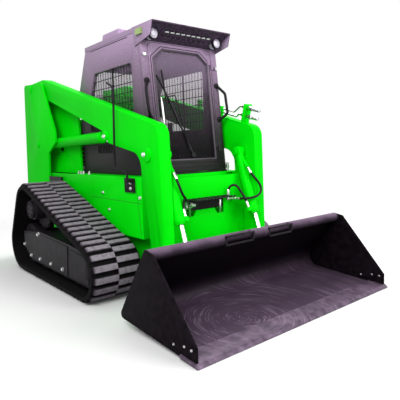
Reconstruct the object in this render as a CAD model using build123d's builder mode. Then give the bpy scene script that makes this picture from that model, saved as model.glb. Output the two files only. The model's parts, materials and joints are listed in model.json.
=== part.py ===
"""Compact track loader: lift arms, bucket, hollow cab and two triangular rubber tracks.

Millimetres. +Z is up, the floor is z = 0, the bucket points to -Y and the machine's right side is -X.
"""
import os
from math import atan2, cos, degrees, hypot, pi, radians, sin, tan

from build123d import *

os.makedirs("parts", exist_ok=True)

SIDES = (("right", -1), ("left", 1))

# Fits
pin_clearance = 0.5
running_gap = 7.0
seat_gap = 0.3

# Widths, from the cab outwards
cab_half = 400.0
arm_cab_gap = 47.0
arm_width = 102.0
track_gap = 11.0
belt_width = 432.0
bucket_overhang = 8.0
arm_inner_x = cab_half + arm_cab_gap
arm_outer_x = arm_inner_x + arm_width
arm_mid_x = arm_inner_x + arm_width / 2
belt_inner_x = arm_outer_x + track_gap
bucket_half = belt_inner_x + belt_width + bucket_overhang

# Lift arms
arm_wall = 18.0
pivot_y, pivot_z = 1530.0, 1875.0
pivot_pin_r = 30.0
arm_end_r = 60.0
elbow_y, elbow_z = -895.0, 1342.0
elbow_r = 110.0
knee_y, knee_z = -645.0, 1135.0
knee_r = 135.0
crest_y, crest_z = 1203.0, 1940.0

# Bucket hinge, tilt cylinder and lift cylinder pins
hinge_y, hinge_z = -880.0, 220.0
hinge_pin_r = 25.0
tilt_top_y, tilt_top_z = -748.0, 1128.0
tilt_eye_y, tilt_eye_z = -1009.0, 382.0
tilt_barrel_r = 40.0
tilt_rod_r = 20.0
tilt_rod_shown = 192.0
tilt_eye_r = 42.0
tilt_eye_width = 42.0
tilt_x = arm_inner_x - running_gap - tilt_barrel_r
lift_base_y, lift_base_z = 1400.0, 1262.0
lift_eye_y, lift_eye_z = -109.0, 1294.0
lift_barrel_r = 50.0
lift_rod_r = 30.0
lift_rod_shown = 72.0
lift_eye_r = 48.0
cylinder_pin_r = 24.0
pin_head = 10.0

# Rear towers
tower_plate = 20.0
tail_y = 1829.0
tower_top_y, tower_top_z = 1717.0, 1939.0
tower_foot_z = 821.0

# Lower tub and side covers
tub_arm_gap = 17.0
tub_half = arm_inner_x - tub_arm_gap
tub_wall = 16.0
tub_bottom_z = 230.0
tub_rear_y = 1700.0
tub_front_y = -628.0
front_slope, rear_slope = 170.0, 190.0
deck_z = 956.0
deck_plate = 12.0
cover_front_y = -640.0

# Cab
cab_wall = 40.0
cab_lean = 0.1026
cab_front_y = -588.0
cab_back_y = 651.0
cab_back_top_y = 490.0
cab_bend_z = 1780.0
cab_top_z = 2110.0
roof_z = 2150.0
floor_z = 700.0
post_width = 70.0
door_half = cab_half - post_width
door_gap = 5.0
door_header = 80.0
door_top_z = cab_top_z - door_header
door_thickness = 36.0
glass_thickness = 8.0

# Door hinges: a knuckle with a pin on the fixed side, a bored knuckle on the door
knuckle_r = 10.0
knuckle_pin_r = 5.0
knuckle_length = 40.0
knuckle_out = 11.0
hinge_leaf = 40.0
leaf_thickness = 6.0
door_hinge_rise, door_hinge_drop = 174.0, 170.0
door_hinge_zs = (deck_z + door_hinge_rise, door_top_z - door_hinge_drop)
tail_hinge_zs = (1080.0, 1360.0)

# Tracks
belt_thickness = 30.0
lug_height = 28.0
lug_count = 54
lug_flank = 80.0
front_idler_y, front_idler_r = -395.0, 238.0
rear_idler_y, rear_idler_r = 985.0, 260.0
sprocket_y, sprocket_z, sprocket_r = 770.0, 630.0, 260.0

# Bucket
lip_y, lip_z = -1831.0, 3.0
heel_y, heel_z = -988.0, 67.0
brim_y, brim_z = -1332.0, 572.0
bucket_plate = 14.0
bucket_side = 16.0
heel_cut = 100.0
roll_r, roll_bar_r = 38.0, 20.0
roll_ahead = 10.0
roll_pockets = ((-348.0, -91.0), (91.0, 336.0))


def write(piece, name):
    """Label a finished piece and write it to its own file."""
    piece.label = name
    export_step(piece, f"parts/{name}.step")


def front_at(z):
    """Y of the leaning front face of the cab at a height."""
    return cab_front_y + (z - deck_z) * cab_lean


def behind_front_at(z):
    """Y of the back of the cab's front frame at a height."""
    return front_at(z) + cab_wall * hypot(1, cab_lean)


def along(start, end):
    """Plane at a start point (x, y, z) with its normal towards an end point of the same x."""
    return Plane(origin=start, x_dir=(1, 0, 0), z_dir=Vector(*end) - Vector(*start))


def fixed_knuckle(plane, leaf):
    """Knuckle, leaf and pin of a hinge's fixed side, upwards from a plane across its axis."""
    with BuildPart() as knuckle:
        with BuildSketch(plane):
            Circle(knuckle_r)
            with Locations((0, knuckle_out)):
                Rectangle(leaf, leaf_thickness, align=(Align.MIN, Align.MAX))
        extrude(amount=knuckle_length)
        with BuildSketch(plane.offset(knuckle_length)):
            Circle(knuckle_pin_r)
        extrude(amount=knuckle_length)
    return knuckle.part


def door_knuckle(plane, leaf):
    """Bored knuckle and leaf of a hinge's moving side, above the fixed knuckle."""
    with BuildPart() as knuckle:
        with BuildSketch(plane.offset(knuckle_length + seat_gap)):
            Circle(knuckle_r)
            with Locations((0, knuckle_out)):
                Rectangle(leaf, leaf_thickness, align=(Align.MAX, Align.MAX))
            Circle(knuckle_pin_r + seat_gap, mode=Mode.SUBTRACT)
        extrude(amount=knuckle_length)
    return knuckle.part


# Track belts: a loop round three wheels with two rows of lugs, half a pitch apart

def belt_loop(inset):
    """Outline of the loop round the three wheels, drawn in as far as inset."""
    with BuildSketch() as loop:
        with BuildLine():
            CenterArc((front_idler_y, front_idler_r), front_idler_r - inset, 0, 360)
            CenterArc((rear_idler_y, rear_idler_r), rear_idler_r - inset, 0, 360)
            CenterArc((sprocket_y, sprocket_z), sprocket_r - inset, 0, 360)
        make_hull()
    return loop.sketch


belt_path = belt_loop(lug_height).face().outer_wire()
lug_pitch = belt_path.length / lug_count
lug_base = 0.66 * lug_pitch


def lug_places(phase):
    """Places of the lugs along the belt, shifted by a share of the pitch, with their tops outwards."""
    middle = belt_path.center()
    places = []
    for index in range(lug_count):
        share = ((index + phase) / lug_count) % 1.0
        point = belt_path @ share
        tangent = belt_path % share
        inwards = tangent.X * (middle.Y - point.Y) - tangent.Y * (middle.X - point.X) > 0
        turn = degrees(atan2(tangent.Y, tangent.X)) + (180 if inwards else 0)
        places.append(Location((point.X, point.Y), turn))
    return places


with BuildPart() as tracks:
    for side, sign in SIDES:
        for row, phase in ((0, 0.0), (1, 0.5)):
            row_x = sign * (belt_inner_x + row * belt_width / 2)
            with BuildSketch(Plane.YZ.offset(row_x)):
                add(belt_loop(lug_height))
                with Locations(*lug_places(phase)):
                    Trapezoid(lug_base, 2 * lug_height, lug_flank)
                add(belt_loop(lug_height + belt_thickness), mode=Mode.SUBTRACT)
            extrude(amount=sign * belt_width / 2)
write(tracks.part, "tracks")

# Wheels inside the belt

wheel_inset = lug_height + belt_thickness + seat_gap
wheel_setback = 130.0
wheel_inner_x = belt_inner_x + wheel_setback
wheel_width = 172.0
frame_plate = 20.0
frame_setback, frame_reach = 72.0, 340.0
frame_inner_x = belt_inner_x + frame_setback
frame_outer_x = belt_inner_x + frame_reach
axle_r = 32.0
roller_r = 92.0
roller_z = roller_r + wheel_inset
roller_front_y, roller_pitch, roller_count = -60.0, 245.0, 4
roller_ys = [roller_front_y + roller_pitch * step for step in range(roller_count)]
wheel_places = [
    (front_idler_y, front_idler_r, front_idler_r - wheel_inset),
    (rear_idler_y, rear_idler_r, rear_idler_r - wheel_inset),
    *[(y, roller_z, roller_r) for y in roller_ys],
]

with BuildPart() as wheels:
    for side, sign in SIDES:
        for wheel_y, wheel_z, radius in wheel_places:
            with BuildSketch(Plane.YZ.offset(sign * wheel_inner_x)):
                with Locations((wheel_y, wheel_z)):
                    Circle(radius)
            extrude(amount=sign * wheel_width)
            with BuildSketch(Plane.YZ.offset(sign * (frame_inner_x + frame_plate))):
                with Locations((wheel_y, wheel_z)):
                    Circle(axle_r)
            extrude(amount=sign * (frame_outer_x - frame_inner_x - frame_plate))
write(wheels.part, "track_wheels")

# Track frames: two plates with a beam between them, and cross tubes to the tub

frame_outline = [
    (-455, 356), (-380, 379), (-65, 407), (569, 432), (1037, 392), (1045, 240), (850, 122), (-440, 105),
]
frame_corner_r = 30.0
beam_bottom_z, beam_top_z = 290.0, 400.0
beam_front_y, beam_rear_y = -190.0, 760.0
cross_tube_ys = (-40.0, 620.0)
cross_tube_r = 55.0

with BuildPart() as frames:
    for side, sign in SIDES:
        for plate_x in (frame_inner_x, frame_outer_x):
            with BuildSketch(Plane.YZ.offset(sign * plate_x)) as plate:
                Polygon(*frame_outline, align=None)
                fillet(plate.vertices(), frame_corner_r)
            extrude(amount=sign * frame_plate)
        with BuildSketch(Plane.YZ.offset(sign * (frame_inner_x + frame_plate))):
            with Locations(((beam_front_y + beam_rear_y) / 2, (beam_bottom_z + beam_top_z) / 2)):
                Rectangle(beam_rear_y - beam_front_y, beam_top_z - beam_bottom_z)
        extrude(amount=sign * (frame_outer_x - frame_inner_x - frame_plate))
        with BuildSketch(Plane.YZ.offset(sign * tub_half)):
            with Locations(*[(y, (beam_bottom_z + beam_top_z) / 2) for y in cross_tube_ys]):
                Circle(cross_tube_r)
        extrude(amount=sign * (frame_inner_x - tub_half))
write(frames.part, "track_frames")

# Final drives with their toothed sprockets

drive_r = 120.0
hub_r = 100.0
hub_cover_r = 84.0
hub_cover = 30.0
drive_reach = 375.0
drive_outer_x = belt_inner_x + drive_reach
sprocket_width = 60.0
sprocket_x = wheel_inner_x + (wheel_width - sprocket_width) / 2
sprocket_teeth = 17
tooth_gap = 30.0
tooth_depth = 22.0

with BuildPart() as drives:
    for side, sign in SIDES:
        for x_from, x_to, radius in (
            (tub_half, sprocket_x, drive_r),
            (sprocket_x, drive_outer_x - hub_cover, hub_r),
            (drive_outer_x - hub_cover, drive_outer_x, hub_cover_r),
        ):
            with BuildSketch(Plane.YZ.offset(sign * x_from)):
                with Locations((sprocket_y, sprocket_z)):
                    Circle(radius)
            extrude(amount=sign * (x_to - x_from))
        with BuildSketch(Plane.YZ.offset(sign * sprocket_x)):
            with Locations((sprocket_y, sprocket_z)):
                tip_r = sprocket_r - wheel_inset
                Circle(tip_r)
                with PolarLocations(tip_r, sprocket_teeth):
                    Rectangle(2 * tooth_depth, tooth_gap, mode=Mode.SUBTRACT)
        extrude(amount=sign * sprocket_width)
write(drives.part, "final_drives")

# Lower tub: an open-topped box with a front deck

with BuildPart() as tub:
    with BuildSketch(Plane.YZ.offset(-tub_half)):
        with BuildLine():
            Polyline(
                (tub_front_y, deck_z - deck_plate),
                (tub_front_y, tub_bottom_z + front_slope),
                (tub_front_y + front_slope, tub_bottom_z),
                (tub_rear_y - rear_slope, tub_bottom_z),
                (tub_rear_y, tub_bottom_z + rear_slope),
                (tub_rear_y, deck_z - deck_plate),
                close=True,
            )
        make_face()
    extrude(amount=2 * tub_half)
    offset(amount=-tub_wall, openings=tub.faces().sort_by(Axis.Z)[-1])
    with BuildSketch(Plane.XY.offset(deck_z - deck_plate)):
        with Locations((0, tub_front_y)):
            deck_depth = front_at(deck_z) + cab_wall - tub_front_y
            Rectangle(2 * (cab_half - cab_wall), deck_depth, align=(Align.CENTER, Align.MIN))
    extrude(amount=deck_plate)
write(tub.part, "tub")

# Tie-down eyes: plates on the tub's lower slopes, for the shackles that hold it on a trailer

eye_x = 290.0
eye_plate = 25.0
eye_r, eye_hole_r = 36.0, 20.0
rear_eye_out, rear_eye_rise = 5.0, 100.0
front_eye_out, front_eye_rise = 52.0, 70.0
rear_eye = (tub_rear_y + rear_eye_out, tub_bottom_z + rear_eye_rise)
front_eye = (tub_front_y - front_eye_out, tub_bottom_z + front_eye_rise)

with BuildPart() as tie_downs:
    for (eye_y, eye_z), foot_y, slope, way in (
        (rear_eye, tub_rear_y - rear_slope, rear_slope, 1),
        (front_eye, tub_front_y + front_slope, front_slope, -1),
    ):
        for side, sign in SIDES:
            with BuildSketch(Plane.YZ.offset(sign * eye_x - eye_plate / 2)):
                Polygon(
                    (foot_y + way * 0.25 * slope, tub_bottom_z + 0.25 * slope),
                    (foot_y + way * 0.75 * slope, tub_bottom_z + 0.75 * slope),
                    (eye_y, eye_z + eye_r),
                    (eye_y, eye_z - eye_r),
                    align=None,
                )
                with Locations((eye_y, eye_z)):
                    Circle(eye_r)
                    Circle(eye_hole_r, mode=Mode.SUBTRACT)
            extrude(amount=eye_plate)
write(tie_downs.part, "tie_downs")

# Side covers: an upright plate with a top flange that carries the cab

cover_plate = 12.0
cover_rear_y = 1150.0
cover_bottom_z = 470.0
cover_bend_y = 430.0
cover_rise = 200.0

with BuildPart() as covers:
    for side, sign in SIDES:
        outwards = Align.MIN if sign > 0 else Align.MAX
        with BuildSketch(Plane.YZ.offset(sign * (arm_outer_x - cover_plate))):
            Polygon(
                (cover_front_y, cover_bottom_z),
                (cover_front_y, deck_z),
                (cover_rear_y, deck_z),
                (cover_rear_y, cover_bottom_z + cover_rise),
                (cover_bend_y, cover_bottom_z),
                align=None,
            )
            with Locations((sprocket_y, sprocket_z)):
                Circle(drive_r + seat_gap, mode=Mode.SUBTRACT)
        extrude(amount=sign * cover_plate)
        with BuildSketch(Plane.XY.offset(deck_z - deck_plate)):
            with Locations((sign * (cab_half - cab_wall), cover_front_y)):
                flange_width = arm_outer_x - cab_half + cab_wall
                Rectangle(flange_width, cab_back_y - cover_front_y, align=(outwards, Align.MIN))
        extrude(amount=deck_plate)
        with BuildSketch(Plane.XZ.offset(-cover_front_y)):
            with Locations((sign * tub_half, cover_bottom_z)):
                Rectangle(arm_outer_x - tub_half, deck_z - cover_bottom_z, align=(outwards, Align.MIN))
        extrude(amount=-cover_plate)
write(covers.part, "side_covers")

# Rear towers: outer plate, inner plate and a rear plate, open to the front for arm and cylinder

tower_outer = [
    (tower_top_y, tower_top_z), (1199, 1905), (922, 1397), (922, 1275), (1125, 1165), (1146, tower_foot_z),
    (tail_y, tower_foot_z),
]
tower_inner = [
    (tower_top_y, tower_top_z), (1330, 1915), (1230, 1820), (640, 1640), (640, deck_z), (1816, deck_z),
]
tower_corner_r = 45.0
tower_hole_y, tower_hole_z, tower_hole_r = 1090.0, 1228.0, 62.0
rear_plate_top_z = 1850.0
tower_inner_x = arm_inner_x - running_gap - tower_plate
tower_outer_x = arm_outer_x + running_gap
tail_gap = 5.0
tail_thickness = 40.0
knuckle_gap = 2.0
tail_hinge_x = tower_inner_x - knuckle_r - knuckle_gap
tail_hinge_y = tub_rear_y + tail_gap + tail_thickness + knuckle_out


def tail_at(z):
    """Y of the towers' leaning rear face at a height."""
    return tail_y - (z - tower_foot_z) * (tail_y - tower_top_y) / (tower_top_z - tower_foot_z)


def tail_hinge_plane(z):
    """Plane across the tail door's upright hinge axis, with its second axis towards the bucket."""
    return Plane(origin=(tail_hinge_x, tail_hinge_y, z), x_dir=(1, 0, 0), z_dir=(0, 0, -1))


with BuildPart() as towers:
    for side, sign in SIDES:
        box_width = tower_outer_x - tower_inner_x - tower_plate
        with BuildSketch(Plane.YZ.offset(sign * tower_outer_x)) as outer:
            Polygon(*tower_outer, align=None)
            fillet(outer.vertices().sort_by(Axis.Y)[-2:], tower_corner_r)
        extrude(amount=sign * tower_plate)
        with BuildSketch(Plane.YZ.offset(sign * tower_inner_x)):
            Polygon(*tower_inner, align=None)
            with Locations((tower_hole_y, tower_hole_z)):
                Circle(tower_hole_r, mode=Mode.SUBTRACT)
        extrude(amount=sign * tower_plate)
        with BuildSketch(Plane.YZ.offset(sign * (tower_inner_x + tower_plate))):
            Polygon(
                (tail_at(rear_plate_top_z), rear_plate_top_z),
                (tail_y, tower_foot_z),
                (tail_y - tower_plate, tower_foot_z),
                (tail_at(rear_plate_top_z) - tower_plate, rear_plate_top_z),
                align=None,
            )
        extrude(amount=sign * box_width)
        for pin_y, pin_z, radius in (
            (pivot_y, pivot_z, pivot_pin_r),
            (lift_base_y, lift_base_z, cylinder_pin_r),
        ):
            with BuildSketch(Plane.YZ.offset(sign * (tower_inner_x + tower_plate))):
                with Locations((pin_y, pin_z)):
                    Circle(radius)
            extrude(amount=sign * box_width)
            with BuildSketch(Plane.YZ.offset(sign * (tower_outer_x + tower_plate))):
                with Locations((pin_y, pin_z)):
                    Circle(radius + pin_head)
            extrude(amount=sign * pin_head)
    for z in tail_hinge_zs:
        add(fixed_knuckle(tail_hinge_plane(z), tower_inner_x - tail_hinge_x))
write(towers.part, "towers")

# Lift arms: box sections from the rear pivot over the elbow down to the bucket hinge

arm_outline = [
    (pivot_y, pivot_z + arm_end_r),
    (crest_y, crest_z),
    (elbow_y, elbow_z),
    (-914, 463),
    (hinge_y - arm_end_r, hinge_z),
    (hinge_y + arm_end_r, hinge_z),
    (-739, 436),
    (-651, 962),
    (knee_y, knee_z),
    (-152, 1236),
    (-36, 1349),
    (1158, 1732),
    (pivot_y, pivot_z - arm_end_r),
]
eye_room = 70.0
boss_r = 50.0
boss_height = 13.0
tilt_pin_end_x = tilt_x - tilt_eye_r

for side, sign in SIDES:
    with BuildPart() as arm:
        with BuildSketch(Plane.YZ.offset(sign * arm_inner_x)) as outline:
            Polygon(*arm_outline, align=None)
            fillet(outline.vertices().sort_by_distance((elbow_y, elbow_z, 0))[0], elbow_r)
            fillet(outline.vertices().sort_by_distance((knee_y, knee_z, 0))[0], knee_r)
            with Locations((pivot_y, pivot_z), (hinge_y, hinge_z)):
                Circle(arm_end_r)
            with Locations((pivot_y, pivot_z)):
                Circle(pivot_pin_r + pin_clearance, mode=Mode.SUBTRACT)
            with Locations((hinge_y, hinge_z)):
                Circle(hinge_pin_r + pin_clearance, mode=Mode.SUBTRACT)
        extrude(amount=sign * arm_width)
        with BuildSketch(Plane.YZ.offset(sign * (arm_inner_x + arm_wall))) as cavity:
            Polygon(*arm_outline, align=None)
            fillet(cavity.vertices().sort_by_distance((elbow_y, elbow_z, 0))[0], elbow_r)
            offset(amount=-arm_wall, kind=Kind.INTERSECTION, mode=Mode.REPLACE)
            with Locations((pivot_y, pivot_z), (hinge_y, hinge_z)):
                Circle(2 * arm_end_r, mode=Mode.SUBTRACT)
            with Locations((lift_eye_y, lift_eye_z)):
                Circle(lift_eye_r + eye_room + arm_wall, mode=Mode.SUBTRACT)
        extrude(amount=sign * (arm_width - 2 * arm_wall), mode=Mode.SUBTRACT)
        with BuildSketch(Plane.YZ.offset(sign * (arm_inner_x + arm_wall))):
            with Locations((lift_eye_y, lift_eye_z)):
                Circle(lift_eye_r + eye_room)
                Rectangle(2 * (lift_eye_r + eye_room), lift_eye_r + eye_room, align=(Align.CENTER, Align.MAX))
        extrude(amount=sign * (arm_width - 2 * arm_wall), mode=Mode.SUBTRACT)
        for face_x, reach in ((arm_outer_x, boss_height), (arm_inner_x, -boss_height)):
            with BuildSketch(Plane.YZ.offset(sign * face_x)):
                with Locations((lift_eye_y, lift_eye_z)):
                    Circle(lift_eye_r - lift_rod_r + cylinder_pin_r)
            extrude(amount=sign * reach)
        with BuildSketch(Plane.YZ.offset(sign * arm_outer_x)):
            with Locations((tilt_top_y, tilt_top_z)):
                Circle(boss_r)
        extrude(amount=sign * boss_height)
        with BuildSketch(Plane.YZ.offset(sign * arm_inner_x)):
            with Locations((tilt_top_y, tilt_top_z)):
                Circle(cylinder_pin_r)
        extrude(amount=sign * (tilt_pin_end_x - arm_inner_x))
        with BuildSketch(Plane.YZ.offset(sign * tilt_pin_end_x)):
            with Locations((tilt_top_y, tilt_top_z)):
                Circle(cylinder_pin_r + pin_head)
        extrude(amount=-sign * pin_head)
    write(arm.part, f"arm_{side}")

# Cross panel between the arms, with the notch over the step

panel_y = -737.0
panel_thickness = 18.0
panel_top_z = 935.0
panel_bottom_z = 380.0
window_top_z, window_mid_z, window_leg_z = 752.0, 663.0, 615.0
window_half, leg_width, leg_taper = 205.0, 75.0, 28.0
leg_inner_x = window_half - leg_width

with BuildPart() as panel:
    with BuildSketch(Plane.XZ.offset(-panel_y)):
        with Locations((0, panel_bottom_z)):
            Rectangle(2 * arm_inner_x, panel_top_z - panel_bottom_z, align=(Align.CENTER, Align.MIN))
        Polygon(
            (-window_half, window_top_z),
            (window_half, window_top_z),
            (window_half, window_leg_z),
            (leg_inner_x, window_leg_z),
            (leg_inner_x - leg_taper, window_mid_z),
            (-leg_inner_x + leg_taper, window_mid_z),
            (-leg_inner_x, window_leg_z),
            (-window_half, window_leg_z),
            align=None,
            mode=Mode.SUBTRACT,
        )
    extrude(amount=panel_thickness)
write(panel.part, "cross_panel")

# Step tread: a shelf with a row of raised teeth

step_half = 215.0
step_depth = 150.0
step_z = 757.0
step_plate = 8.0
step_teeth = 12
step_pitch = 2 * step_half / step_teeth
tooth_side = 26.0
tread_slots = 6
tread_slot_width, tread_slot_length = 34.0, 100.0
panel_face_y = panel_y - panel_thickness

with BuildPart() as step:
    with BuildSketch(Plane.XY.offset(step_z)):
        with Locations((0, panel_face_y)):
            Rectangle(2 * step_half, step_depth, align=(Align.CENTER, Align.MAX))
            with Locations((0, -step_depth / 2)):
                with GridLocations(2 * step_half / tread_slots, 1, tread_slots, 1):
                    Rectangle(tread_slot_width, tread_slot_length, mode=Mode.SUBTRACT)
    extrude(amount=step_plate)
    with BuildSketch(Plane.XZ.offset(-panel_face_y + step_depth - step_plate)):
        with Locations((0, step_z)):
            with GridLocations(step_pitch, 0, step_teeth, 1):
                Triangle(
                    a=step_pitch - step_plate,
                    b=tooth_side,
                    c=tooth_side,
                    align=(Align.CENTER, Align.MIN),
                )
    extrude(amount=step_plate)
write(step.part, "step_tread")

# Couplers on the left elbow: two quick couplers on a bracket, with pipes back along the arm's top

arm_rise = (crest_z - elbow_z) / (crest_y - elbow_y)
coupler_y = -740.0
coupler_r = 15.0
coupler_collar_r = 20.0
coupler_front, coupler_rear = 150.0, -60.0
collar_from, collar_to = 20.0, 75.0
coupler_heights = (57.0, 128.0)
pipe_heights = (26.0, 62.0)
pipe_r = 8.0
pipe_end = -700.0
bracket_half, bracket_height, bracket_plate = 46.0, 160.0, 12.0
clamp_half, clamp_height = 24.0, 82.0
clamp_places = (-330.0, -660.0)
coupler_base = (arm_mid_x, coupler_y, elbow_z + (coupler_y - elbow_y) * arm_rise)
coupler_plane = Plane(origin=coupler_base, x_dir=(1, 0, 0), z_dir=(0, -1, -arm_rise))

with BuildPart() as bracket:
    with BuildSketch(coupler_plane.offset(-bracket_plate / 2)):
        Rectangle(2 * bracket_half, bracket_height, align=(Align.CENTER, Align.MIN))
        with Locations(*[(0, height) for height in coupler_heights]):
            Circle(coupler_r + seat_gap, mode=Mode.SUBTRACT)
    extrude(amount=bracket_plate)
    for place in clamp_places:
        with BuildSketch(coupler_plane.offset(place)):
            Rectangle(2 * clamp_half, clamp_height, align=(Align.CENTER, Align.MIN))
            with Locations(*[(0, height) for height in pipe_heights]):
                Circle(pipe_r + seat_gap, mode=Mode.SUBTRACT)
        extrude(amount=bracket_plate)
write(bracket.part, "coupler_bracket")

with BuildPart() as couplers:
    for height, pipe_height in zip(coupler_heights, pipe_heights):
        for z_from, z_to, radius in (
            (coupler_rear, coupler_front, coupler_r),
            (collar_from, collar_to, coupler_collar_r),
        ):
            with BuildSketch(coupler_plane.offset(z_from)):
                with Locations((0, height)):
                    Circle(radius)
            extrude(amount=z_to - z_from)
        dip = height - pipe_height
        with BuildLine(coupler_plane) as pipe_route:
            FilletPolyline(
                (0, height, coupler_rear),
                (0, height, coupler_rear - 3 * pipe_r),
                (0, pipe_height, coupler_rear - 3 * pipe_r - dip),
                (0, pipe_height, pipe_end),
                radius=2 * pipe_r,
            )
        with BuildSketch(Plane(origin=pipe_route.line @ 0, z_dir=pipe_route.line % 0)):
            Circle(pipe_r)
        sweep()
write(couplers.part, "couplers")

# Hydraulic cylinders: a barrel pinned at its base and a rod that ends in an eye

def barrel_plane(x, base, eye):
    """Plane at a cylinder's base pin, looking along the cylinder at its rod's eye."""
    return along((x, *base), (x, *eye))


lift_base, lift_eye = (lift_base_y, lift_base_z), (lift_eye_y, lift_eye_z)
tilt_top, tilt_eye = (tilt_top_y, tilt_top_z), (tilt_eye_y, tilt_eye_z)
lift_length = hypot(lift_eye_y - lift_base_y, lift_eye_z - lift_base_z)
tilt_length = hypot(tilt_eye_y - tilt_top_y, tilt_eye_z - tilt_top_z)
lift_eye_width = arm_width - 2 * arm_wall - 2 * door_gap
lift_sizes = (lift_length, lift_barrel_r, lift_rod_r, lift_rod_shown, lift_eye_r, lift_eye_width)
tilt_sizes = (tilt_length, tilt_barrel_r, tilt_rod_r, tilt_rod_shown, tilt_eye_r, tilt_eye_width)
cylinders = (
    ("lift", arm_mid_x, lift_base, lift_eye, lift_sizes),
    ("tilt", tilt_x, tilt_top, tilt_eye, tilt_sizes),
)
rod_start = 165.0
bore_start = 70.0
gland_from, gland_length, gland_lip = 60.0, 45.0, 3.0
base_eye_lip = 4.0
port_size, port_bite = 34.0, 6.0
low_port_from = 503.0
neck_turn, neck_r = 20.0, 15.0
neck_from, neck_to = 95.0, 175.0

for name, x, base, eye, (length, barrel_r, rod_r, rod_shown, eye_r, eye_width) in cylinders:
    barrel_length = length - eye_r - rod_shown
    for side, sign in SIDES:
        axis_plane = barrel_plane(sign * x, base, eye)
        with BuildPart() as barrel:
            with BuildSketch(axis_plane):
                Circle(barrel_r)
            extrude(amount=barrel_length)
            with BuildSketch(axis_plane.offset(barrel_length - gland_from)):
                Circle(barrel_r + gland_lip)
            extrude(amount=gland_length)
            with BuildSketch(Plane.YZ.offset(sign * x - barrel_r + base_eye_lip)):
                with Locations(base):
                    Circle(eye_r + base_eye_lip)
            extrude(amount=2 * (barrel_r - base_eye_lip))
            if name == "tilt":
                neck_plane = axis_plane.rotated((-neck_turn, 0, 0))
                with BuildSketch(neck_plane.offset(neck_from)):
                    Circle(neck_r)
                extrude(amount=neck_to - neck_from)
                with BuildSketch(axis_plane.offset(low_port_from)):
                    with Locations((-sign * (barrel_r + (port_size - port_bite) / 2), 0)):
                        Rectangle(port_size + port_bite, port_size)
                extrude(amount=port_size)
            with BuildSketch(Plane.YZ.offset(sign * x - barrel_r)):
                with Locations(base):
                    Circle(cylinder_pin_r + pin_clearance)
            extrude(amount=2 * barrel_r, mode=Mode.SUBTRACT)
            with BuildSketch(axis_plane.offset(bore_start)):
                Circle(rod_r + pin_clearance)
            extrude(amount=barrel_length, mode=Mode.SUBTRACT)
        write(barrel.part, f"{name}_barrel_{side}")

        with BuildPart() as rod:
            with BuildSketch(axis_plane.offset(rod_start)):
                Circle(rod_r)
            extrude(amount=length - rod_start)
            with BuildSketch(Plane.YZ.offset(sign * x - eye_width / 2)):
                with Locations(eye):
                    Circle(eye_r)
            extrude(amount=eye_width)
        write(rod.part, f"{name}_rod_{side}")

# Pipes and fittings on the cross panel, for the tilt cylinders' hoses

fitting_r = 14.0
fitting_reach = 45.0
fitting_z = 727.0
stub_y = -785.0
stub_r = 13.0
stub_in = -172.0
stub_low, stub_high = 715.0, 752.0
tail_pipe_y = -778.0
left_fitting_in = -104.0
right_drop = 11.0
right_stub_drop = 27.0
leg_pipe_r, leg_pipe_length = 12.0, 112.0
leg_pipe_x = window_half - leg_width / 2

with BuildPart() as panel_pipes:
    for side, sign in SIDES:
        stub_x = sign * (tilt_x + stub_in)
        fitting_x = tilt_x + left_fitting_in if sign > 0 else -leg_pipe_x
        axis_z = fitting_z - (0 if sign > 0 else right_drop)
        lowered = 0 if sign > 0 else right_stub_drop
        pipe_z = fitting_z - lowered
        with BuildSketch(Plane.XZ.offset(-panel_face_y)):
            with Locations((fitting_x, axis_z)):
                Circle(fitting_r)
        extrude(amount=fitting_reach)
        if sign < 0:
            with BuildSketch(Plane.YZ.offset(fitting_x - fitting_r)):
                with Locations((panel_face_y - fitting_reach, axis_z)):
                    Circle(fitting_r)
            extrude(amount=2 * fitting_r)
        with BuildSketch(Plane.YZ.offset(min(stub_x, fitting_x))):
            with Locations((tail_pipe_y, pipe_z)):
                Circle(pipe_r)
        extrude(amount=abs(fitting_x - stub_x))
        with BuildSketch(Plane.XY.offset(stub_low - lowered)):
            with Locations((stub_x, stub_y)):
                Circle(stub_r)
        extrude(amount=stub_high - stub_low)
        with BuildSketch(Plane.XY.offset(window_leg_z)):
            with Locations((sign * leg_pipe_x, panel_y - panel_thickness / 2)):
                Circle(leg_pipe_r)
        extrude(amount=leg_pipe_length)
write(panel_pipes.part, "panel_pipes")

# Hoses from the panel to the tilt barrels: x is counted outwards from the barrel's axis

hose_r = 10.0
hose_routes = {
    ("left", "upper"): [
        (0, -861, 990), (0, -897, 945), (30, -925, 895), (66, -940, 845), (74, -950, 795), (32, -957, 752),
        (-34, -956, 740), (-84, -922, 733), (-104, -862, 729), (-104, -800, 727),
    ],
    ("left", "lower"): [
        (-57, -914, 654), (-58, -898, 700), (-72, -884, 745), (-96, -866, 789), (-112, -855, 827),
        (-132, -835, 850), (-152, -810, 846), (-166, -793, 822), (-171, -786, 787), (-172, -785, 752),
    ],
    ("right", "upper"): [
        (0, -861, 990), (-1, -897, 945), (-14, -912, 892), (-38, -908, 838), (-80, -888, 796),
        (-126, -860, 764), (-172, -826, 734), (-218, -800, 716),
    ],
    ("right", "lower"): [
        (-57, -914, 654), (-58, -898, 700), (-74, -878, 744), (-102, -846, 770), (-136, -812, 772),
        (-162, -793, 756), (-172, -785, 725),
    ],
}

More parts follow.
